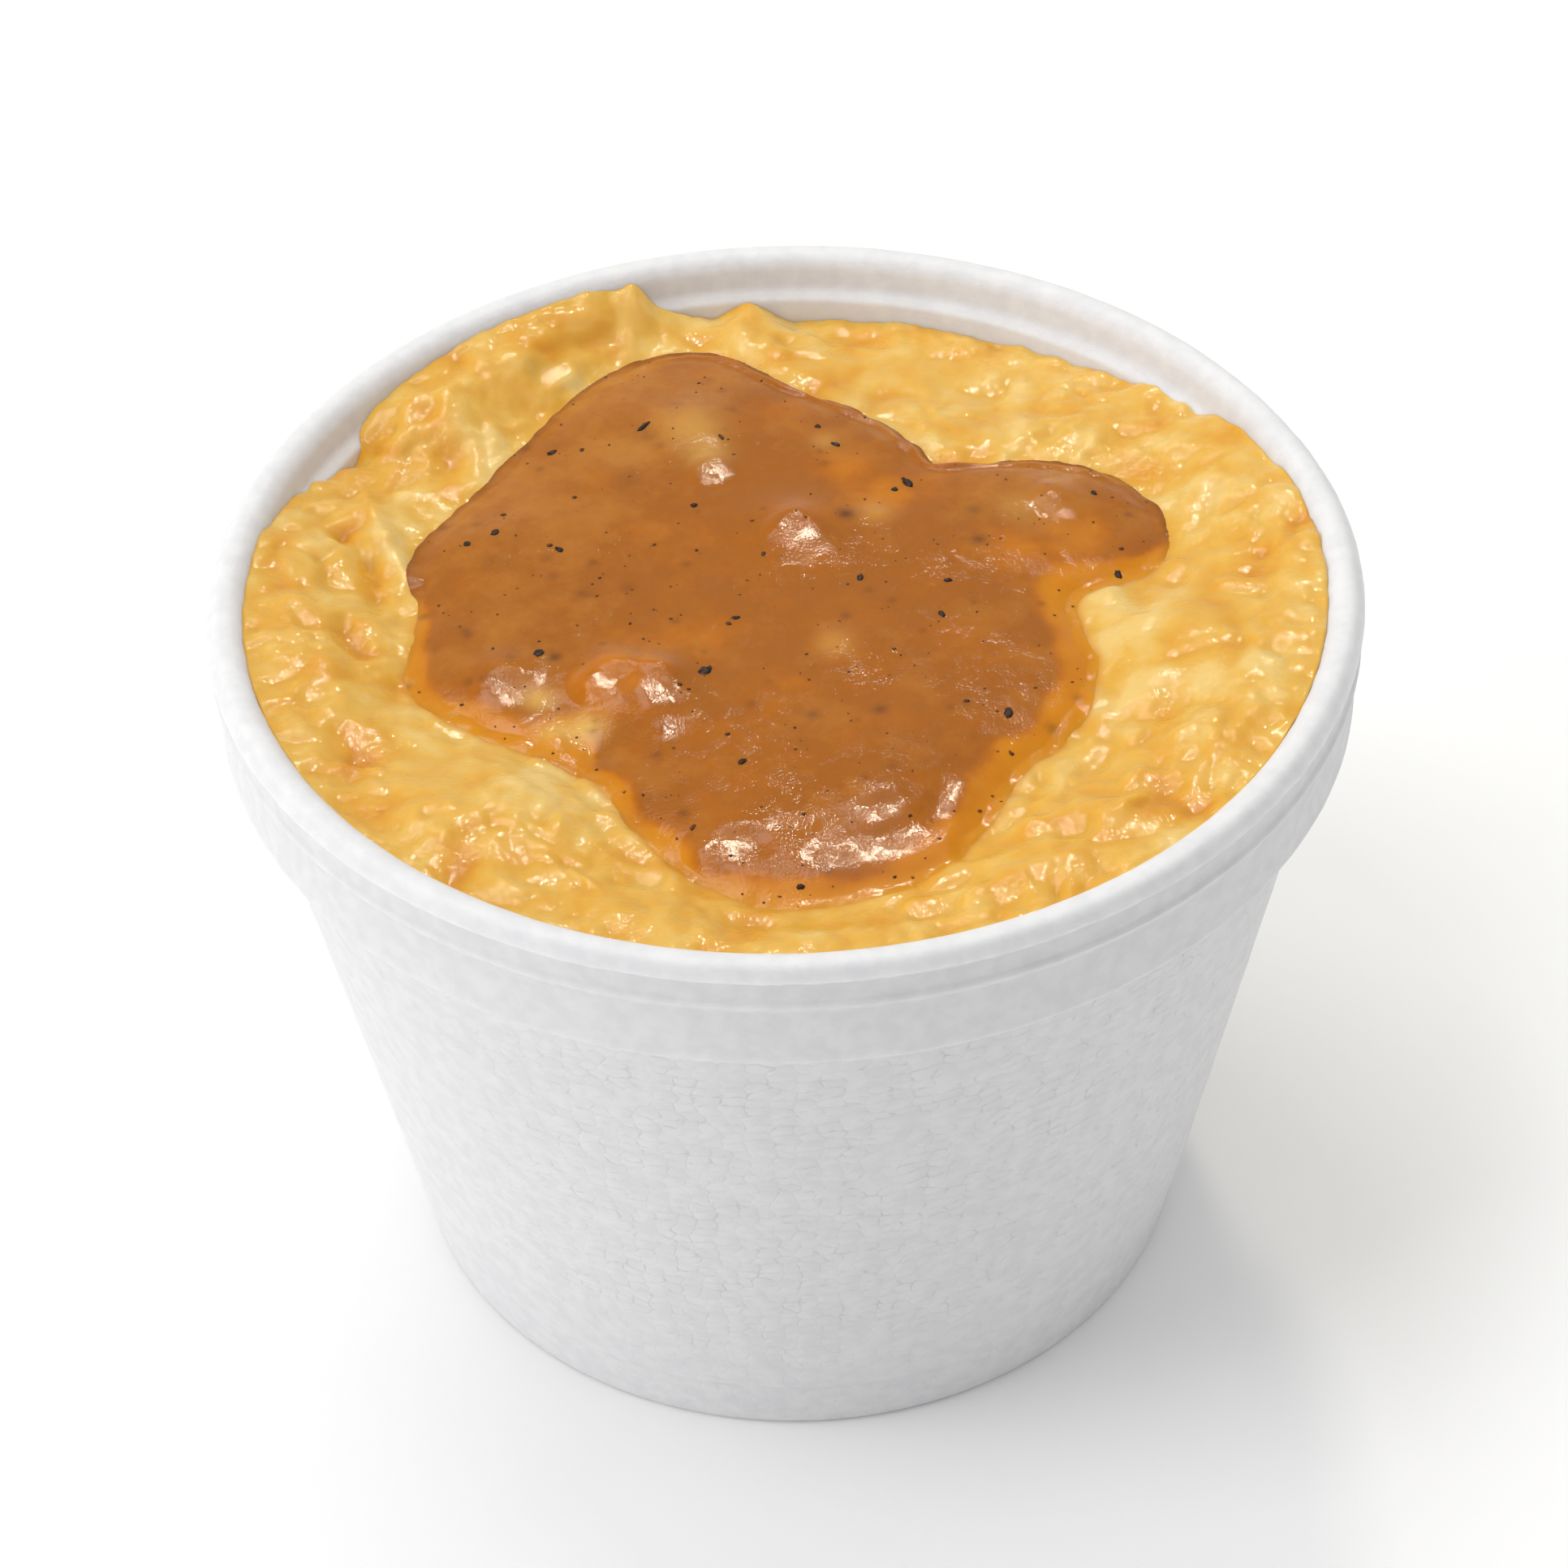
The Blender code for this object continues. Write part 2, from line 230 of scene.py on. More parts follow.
camera = {
    "lens": 102.08, "sensor": 36.0,
    "aim": Vector((-0.49, 0.0, 42.17)) * mm,
    "distance": 367.9 * mm,
    "elevation": math.radians(41.63),
    "roll": math.radians(-1.676),
}


def makeCamera():
    data = bpy.data.cameras.new("camera")
    data.lens = camera["lens"]
    data.sensor_width = camera["sensor"]
    data.clip_start = 0.01
    forward = Vector((0.0, math.cos(camera["elevation"]), -math.sin(camera["elevation"])))
    across = Vector((1.0, 0.0, 0.0))
    upward = across.cross(forward)
    right = across * math.cos(camera["roll"]) + upward * math.sin(camera["roll"])
    top = upward * math.cos(camera["roll"]) - across * math.sin(camera["roll"])
    turn = Matrix((right, top, -forward)).transposed()
    view = bpy.data.objects.new("camera", data)
    view.matrix_world = Matrix.Translation(camera["aim"] - forward * camera["distance"]) @ turn.to_4x4()
    bpy.context.scene.collection.objects.link(view)
    bpy.context.scene.camera = view


makeCamera()
viewPoint = bpy.context.scene.camera.matrix_world.translation
print("camera set")


# ---- lights ----

studio = {
    "floorSize": 4.0,
    "floorColours": (linear(254, 254, 254), linear(252, 252, 252)),
    "world": 0.50,
    "middle": Vector((0.0, 0.0, 0.03)),  # the lamps point at it
    # each lamp: light on the floor, width and height (m), then azimuth, elevation and distance
    "lamps": {
        "top": (0.18, (0.8, 0.6), (40.0, 82.0, 0.80)),
        "core": (0.11, (0.08, 0.065), (82.0, 56.0, 0.80)),  # small and bright, makes the wet glints
        "back": (0.13, (0.34, 0.34), (122.0, 66.0, 0.90)),
        "front": (0.15, (0.26, 0.26), (-150.0, 70.0, 0.90)),
        "left": (0.12, (0.6, 0.5), (-166.0, 20.0, 1.00)),
    },
    "lampColours": {"core": (1.0, 0.94, 0.76)},  # the others are white
}


def lampWay(name):  # direction to a lamp, and how far away it is
    azimuth, elevation, distance = studio["lamps"][name][2]
    azimuth, elevation = math.radians(azimuth), math.radians(elevation)
    way = Vector((math.cos(elevation) * math.cos(azimuth), math.cos(elevation) * math.sin(azimuth),
                  math.sin(elevation)))
    return way, distance


def lampPlace(name):
    way, distance = lampWay(name)
    return studio["middle"] + way * distance


# ---- foam cup ----

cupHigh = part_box("foam_cup")[1]
cup = {
    "steps": 480,
    "rowLength": 1.1 * mm, "hiddenRow": 8.0 * mm,  # longest step along the profile
    "filletPoints": 4,
    "rimRadius": cupHigh.x, "crest": cupHigh.z,
    "lipWidth": 3.1 * mm,
    "partingDrop": 1.2 * mm, "partingRidge": 0.35 * mm,
    "ledgeDrop": 3.7 * mm, "collarDrop": 9.7 * mm,
    "collarRadius": 45.6 * mm, "wallTopRadius": 43.4 * mm,
    "footLine": 5.9 * mm, "footRadius": 34.2 * mm, "baseRadius": 33.0 * mm,
    "stackLedge": 61.5 * mm, "stackRadius": 41.45 * mm, "stackWidth": 1.0 * mm, "stackRise": 0.6 * mm,
    "floor": 4.4 * mm, "floorRadius": 31.6 * mm,
    "recess": 1.8 * mm, "recessRadius": 27.6 * mm,
    "ripple": 0.035 * mm, "rippleSize": 3.0 * mm,
    "jag": 0.09 * mm, "jagSizes": (0.55 * mm, 1.3 * mm), "jagInset": 0.05 * mm,  # of the parting line
    "beadWidth": 1.7, "beadHeight": 1.15,  # in mm
    # beads show most low on the front of the wall, and hardly on the collar: heights and place across
    "beadsTop": (54.2 * mm, 55.2 * mm), "beadsFoot": (6.0 * mm, 20.0 * mm),
    "beadsSide": (-34.0 * mm, -8.0 * mm),
    # the wall above the potato gets painted warm shade, for the rim's shadow and the potato's bounce light,
    # in the beige below: from none to full, and across
    "warmShadeRadius": (43.7 * mm, 42.8 * mm), "warmShadeTop": (64.4 * mm, 61.6 * mm),
    "warmShadeFoot": (56.0 * mm, 58.0 * mm), "warmShadeSide": (-12.0 * mm, 18.0 * mm),
    "whites": (linear(221, 221, 223), linear(228, 228, 229)),
    # the grey below is painted shade in the pits of the bead seams
    "seamShadeColour": linear(168, 168, 172), "stainColour": linear(206, 184, 156),
}


def roundedProfile(corners, points):  # corners are (radius, height, fillet, longest step after it)
    spots = [Vector((r, z)) for r, z, fillet, longest in corners]
    fine = [spots[0]]

    def lineTo(end, longest):
        start = fine[-1]
        cuts = max(1, math.ceil((end - start).length / longest))
        fine.extend(start.lerp(end, k / cuts) for k in range(1, cuts + 1))

    for i in range(1, len(corners) - 1):
        before, corner, after = spots[i - 1], spots[i], spots[i + 1]
        reach = min(corners[i][2], (before - corner).length * 0.45, (after - corner).length * 0.45)
        start = corner + (before - corner).normalized() * reach
        end = corner + (after - corner).normalized() * reach
        lineTo(start, corners[i - 1][3])
        for k in range(1, points):
            t = k / (points - 1)
            fine.append(start.lerp(corner, t).lerp(corner.lerp(end, t), t))
    lineTo(spots[-1], corners[-2][3])
    return fine


def cupCorners():
    rim, crest, hidden, seen = cup["rimRadius"], cup["crest"], cup["hiddenRow"], cup["rowLength"]
    parting, ledge, collar = crest - cup["partingDrop"], crest - cup["ledgeDrop"], crest - cup["collarDrop"]
    inner, ridge = rim - cup["lipWidth"], cup["partingRidge"]
    return [
        (0.0, cup["floor"], 0.0, hidden),
        (cup["floorRadius"], cup["floor"], 3.0 * mm, hidden),
        (cup["stackRadius"], cup["stackLedge"], 0.3 * mm, seen),
        (cup["stackRadius"] + cup["stackWidth"], cup["stackLedge"] + cup["stackRise"], 0.4 * mm, seen),
        (inner + 0.1 * mm, crest - 0.8 * mm, 0.5 * mm, seen),
        (inner + 0.9 * mm, crest - 0.02 * mm, 0.7 * mm, seen),
        (rim - 0.9 * mm, crest + 0.02 * mm, 0.8 * mm, seen),
        (rim - ridge, parting + 0.35 * mm, 0.2 * mm, seen),
        (rim, parting + 0.05 * mm, 0.1 * mm, seen),
        (rim - ridge - 0.05 * mm, parting - 0.25 * mm, 0.2 * mm, seen),
        (rim - 0.45 * mm, ledge + 0.35 * mm, 0.3 * mm, seen),
        (rim - 0.12 * mm, ledge, 0.15 * mm, seen),
        (cup["collarRadius"] - 0.05 * mm, ledge - 0.6 * mm, 0.3 * mm, seen),
        (cup["collarRadius"] - 0.15 * mm, collar + 0.7 * mm, 0.4 * mm, seen),
        (cup["collarRadius"], collar + 0.15 * mm, 0.25 * mm, seen),
        (cup["collarRadius"] - 0.6 * mm, collar - 0.3 * mm, 0.4 * mm, seen),
        (cup["wallTopRadius"], collar - 0.9 * mm, 0.6 * mm, seen),
        (cup["footRadius"], cup["footLine"] + 0.1 * mm, 0.2 * mm, seen),
        (cup["footRadius"] - 0.25 * mm, cup["footLine"] - 0.2 * mm, 0.2 * mm, seen),
        (cup["baseRadius"], 0.0, 0.8 * mm, seen),
        (cup["recessRadius"] + 0.9 * mm, 0.0, 0.3 * mm, seen),
        (cup["recessRadius"], cup["recess"], 0.6 * mm, hidden),
        (0.0, cup["recess"], 0.0, hidden),
    ]


def foamMaterial():
    material, tree, shader = newMaterial("whiteFoam")
    place = addNode(tree, "ShaderNodeTexCoord").outputs["Object"]
    x, y, height = addNode(tree, "ShaderNodeSeparateXYZ", [(0, place)]).outputs
    around = mathNode(tree, "ARCTAN2", x, mathNode(tree, "MULTIPLY", y, -1.0))
    warp = mathNode(tree, "SUBTRACT", noiseNode(tree, place, 1.6, 2.0), 0.5)
    across = mathNode(tree, "ADD", mathNode(tree, "MULTIPLY", around, 40.0 / cup["beadWidth"]), warp)
    along = mathNode(tree, "ADD", mathNode(tree, "MULTIPLY", height, 1.0 / (cup["beadHeight"] * mm)), warp)
    spot = addNode(tree, "ShaderNodeCombineXYZ", [(0, across), (1, along)]).outputs[0]
    beads = [("Vector", spot), ("Scale", 1.0), ("Randomness", 0.55)]
    edge = addNode(tree, "ShaderNodeTexVoronoi", beads, feature="DISTANCE_TO_EDGE",
                   voronoi_dimensions="2D").outputs["Distance"]
    onWall = product(tree, rangeNode(tree, height, *cup["beadsTop"], 1.0, 0.12),
                     rangeNode(tree, height, *cup["beadsFoot"], 0.4, 1.0),
                     rangeNode(tree, x, *cup["beadsSide"], 0.35, 1.0))
    patchy = rangeNode(tree, noiseNode(tree, place, 2.6, 3.0), 0.4, 0.62, 0.3, 1.0)
    seam = product(tree, rangeNode(tree, edge, 0.0, 0.1, 1.0, 0.0), patchy, onWall)
    # painted shade in the pits of the bead seams
    seamShade = product(tree, seam, rangeNode(tree, noiseNode(tree, place, 0.9, 1.0), 0.5, 0.64), 0.3)
    mottle = rangeNode(tree, noiseNode(tree, place, 1.6, 3.0), 0.3, 0.7)
    tint = mixColour(tree, seamShade, mixColour(tree, mottle, *cup["whites"]), cup["seamShadeColour"])
    flat = addNode(tree, "ShaderNodeVectorMath", [(0, place), (1, (1.0, 1.0, 0.0))],
                   operation="MULTIPLY").outputs[0]
    radius = addNode(tree, "ShaderNodeVectorMath", [(0, flat)], operation="LENGTH").outputs["Value"]
    # painted warm shade for the rim's shadow and the potato's bounce light, strongest on the left
    warmShaded = product(tree, rangeNode(tree, radius, *cup["warmShadeRadius"]),
                      rangeNode(tree, height, *cup["warmShadeTop"]), rangeNode(tree, height, *cup["warmShadeFoot"]),
                      rangeNode(tree, x, *cup["warmShadeSide"], 0.2, 0.0))
    tree.links.new(mixColour(tree, warmShaded, tint, cup["stainColour"]), shader.inputs["Base Color"])
    dome = product(tree, rangeNode(tree, edge, 0.0, 0.4), onWall, 0.5)
    grain = noiseNode(tree, place, 0.4, 3.0)
    normal = bumpNode(tree, mathNode(tree, "SUBTRACT", dome, seam), 0.5, 0.09)
    normal = bumpNode(tree, mottle, 0.3, 0.05, normal)
    normal = bumpNode(tree, grain, 0.4, 0.04, normal)
    tree.links.new(normal, shader.inputs["Normal"])
    tree.links.new(rangeNode(tree, grain, 0.3, 0.7, 0.5, 0.62), shader.inputs["Roughness"])
    setInputs(shader, {"IOR": 1.4, "Subsurface Weight": 0.5, "Subsurface Radius": (1.0, 1.0, 1.0),
                       "Subsurface Scale": 1.5 * mm})
    return material


def roughenCup(bm):  # gives it an uneven skin, and fused beads along the parting line
    parting = cup["crest"] - cup["partingDrop"]
    fine, coarse = cup["jagSizes"]
    for vert in bm.verts:
        x, y, z = vert.co
        radius = math.hypot(x, y)
        if radius < 20.0 * mm or z < 0.5 * mm:  # the floor and the ring it stands on stay even
            continue
        wave = noise.noise(vert.co / cup["rippleSize"]) * cup["ripple"]
        vert.co += vert.normal * wave
        if abs(z - parting) < 0.3 * mm and radius > cup["rimRadius"] - 0.5 * mm:
            jag = noise.noise(vert.co / fine) + 0.6 * noise.noise(vert.co / coarse)
            vert.co.z += jag * cup["jag"]
            vert.co.x -= x / radius * cup["jagInset"]
            vert.co.y -= y / radius * cup["jagInset"]


def makeCup():
    bm = bmesh.new()
    profile = roundedProfile(cupCorners(), cup["filletPoints"])
    verts = [bm.verts.new((p.x, 0.0, p.y)) for p in profile]
    edges = [bm.edges.new(pair) for pair in zip(verts, verts[1:])]
    bmesh.ops.spin(bm, geom=verts + edges, axis=(0, 0, 1), cent=(0, 0, 0), angle=math.tau,
                   steps=cup["steps"], use_merge=True)
    bmesh.ops.remove_doubles(bm, verts=bm.verts, dist=0.002 * mm)
    bmesh.ops.recalc_face_normals(bm, faces=bm.faces)
    bm.normal_update()
    roughenCup(bm)
    newPiece("foamCup", bm, foamMaterial(), "foam_cup")


makeCup()


# ---- shape shared by the potato and the gravy ----

def nodeTree(*names):  # one tree of several CAD nodes, for measuring heights on them
    bm = bmesh.new()
    for name in names:
        bm.from_mesh(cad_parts[name].data)
    tree = BVHTree.FromBMesh(bm)
    bm.free()
    return tree


def dropOn(tree, x, y, fallback):  # height of the surface under a place
    hit = tree.ray_cast(Vector((x, y, 0.1)), Vector((0.0, 0.0, -1.0)))[0]
    return hit.z if hit else fallback


def cupInnerRadius(z):  # works on arrays
    slope = (cup["stackRadius"] - cup["floorRadius"]) / (cup["stackLedge"] - cup["floor"])
    above = z - cup["stackLedge"]
    wall = cup["stackRadius"] + slope * above
    ledge = cup["stackRadius"] + above * cup["stackWidth"] / cup["stackRise"]
    rim = cup["stackRadius"] + cup["stackWidth"] + 0.25 * (above - cup["stackRise"])
    return np.where(above < 0.0, wall, np.where(above < cup["stackRise"], ledge, rim))


def ringValues(points, centre, keep):  # keep's choice of the points round a centre, by angle
    chosen = {}
    for point in points:
        offset = Vector((point.x - centre[0], point.y - centre[1]))
        angle = round(math.degrees(math.atan2(offset.y, offset.x)) % 360.0, 1) % 360.0
        value = keep(offset.length, point.z)
        if value is not None and value > chosen.get(angle, -1.0):
            chosen[angle] = value
    angles = sorted(chosen)
    return np.radians(angles), np.array([chosen[a] for a in angles])


def ringLookup(ring, angle):
    return np.interp(np.mod(angle, math.tau), ring[0], ring[1], period=math.tau)


gravyCentre = (0.0, 7.0 * mm)
gravyVerts = [v.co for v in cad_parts["gravy"].data.vertices]
potatoVerts = [v.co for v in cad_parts["mashed_potato"].data.vertices]
outlineRing = ringValues(gravyVerts, gravyCentre, lambda r, z: r)
wallRing = ringValues(potatoVerts, (0.0, 0.0), lambda r, z: z if r > 40.3 * mm else None)
cadTop = nodeTree("mashed_potato", "gravy")


def discGrid(segments):  # even grid of squares, pressed into a round disc of radius 1
    bm = bmesh.new()
    bmesh.ops.create_grid(bm, x_segments=segments, y_segments=segments, size=1.0)
    for vert in bm.verts:
        u, v = vert.co.x, vert.co.y
        vert.co.x = u * math.sqrt(1.0 - v * v / 2.0)
        vert.co.y = v * math.sqrt(1.0 - u * u / 2.0)
    return bm


def moveVerts(bm, places):
    for vert, place in zip(bm.verts, places):
        vert.co = place


def skirt(bm, steps):  # closes a disc from below; steps are functions from a place to the next one down
    ring = [e for e in bm.edges if e.is_boundary]
    for step in steps:
        grown = bmesh.ops.extrude_edge_only(bm, edges=ring)["geom"]
        for vert in (g for g in grown if isinstance(g, bmesh.types.BMVert)):
            vert.co = step(vert.co)
        ring = [g for g in grown if isinstance(g, bmesh.types.BMEdge)]
    bmesh.ops.holes_fill(bm, edges=ring)
    bmesh.ops.recalc_face_normals(bm, faces=bm.faces)


def edgeDistance(x, y):  # how far inside the gravy's outline a place is, in mm
    steps, blur = 1440, 8  # points round the outline, and how many on each side are averaged
    angles = np.linspace(0.0, math.tau, steps, endpoint=False)
    radii = ringLookup(outlineRing, angles)
    window = np.ones(2 * blur + 1) / (2 * blur + 1)
    radii = np.convolve(np.concatenate((radii[-blur:], radii, radii[:blur])), window, "valid")
    outlineX, outlineY = gravyCentre[0] + radii * np.cos(angles), gravyCentre[1] + radii * np.sin(angles)
    tree = KDTree(steps)
    for i, (a, b) in enumerate(zip(outlineX, outlineY)):
        tree.insert((a, b, 0.0), i)
    tree.balance()
    gap = np.array([tree.find((a, b, 0.0))[2] for a, b in zip(x, y)]) / mm
    offsetX, offsetY = x - gravyCentre[0], y - gravyCentre[1]
    reach = ringLookup((angles, radii), np.arctan2(offsetY, offsetX))
    return np.where(np.hypot(offsetX, offsetY) < reach, gap, -gap)


def mirrorSlope(x, y, z):  # slope that mirrors the lamp into the view from a place given in mm
    here = Vector((x, y, z)) * mm
    way = (lampPlace("core") - here).normalized() + (viewPoint - here).normalized()
    return -way.x / way.z, -way.y / way.z


def flatten(x, y, z, mirrors, soft):  # tilts the listed places of a surface to the lamp, soft mm beyond them
    covered = np.zeros(len(x))
    for x0, y0, x1, y1, width in mirrors:
        near = smoothStep(-strokeDistance(x, y, x0, y0, x1, y1), -width - soft, -width)
        midX, midY, level = (x0 + x1) / 2.0, (y0 + y1) / 2.0, np.average(z, weights=near)
        slopeX, slopeY = mirrorSlope(midX, midY, level / mm)
        plane = level + slopeX * (x - midX * mm) + slopeY * (y - midY * mm)
        z = z + (plane - z) * near
        covered = np.maximum(covered, near)
    return z + covered * 0.012 * mm * noiseField(x, y, 1.3, 61.0, 2), covered


# ---- mashed potato ----

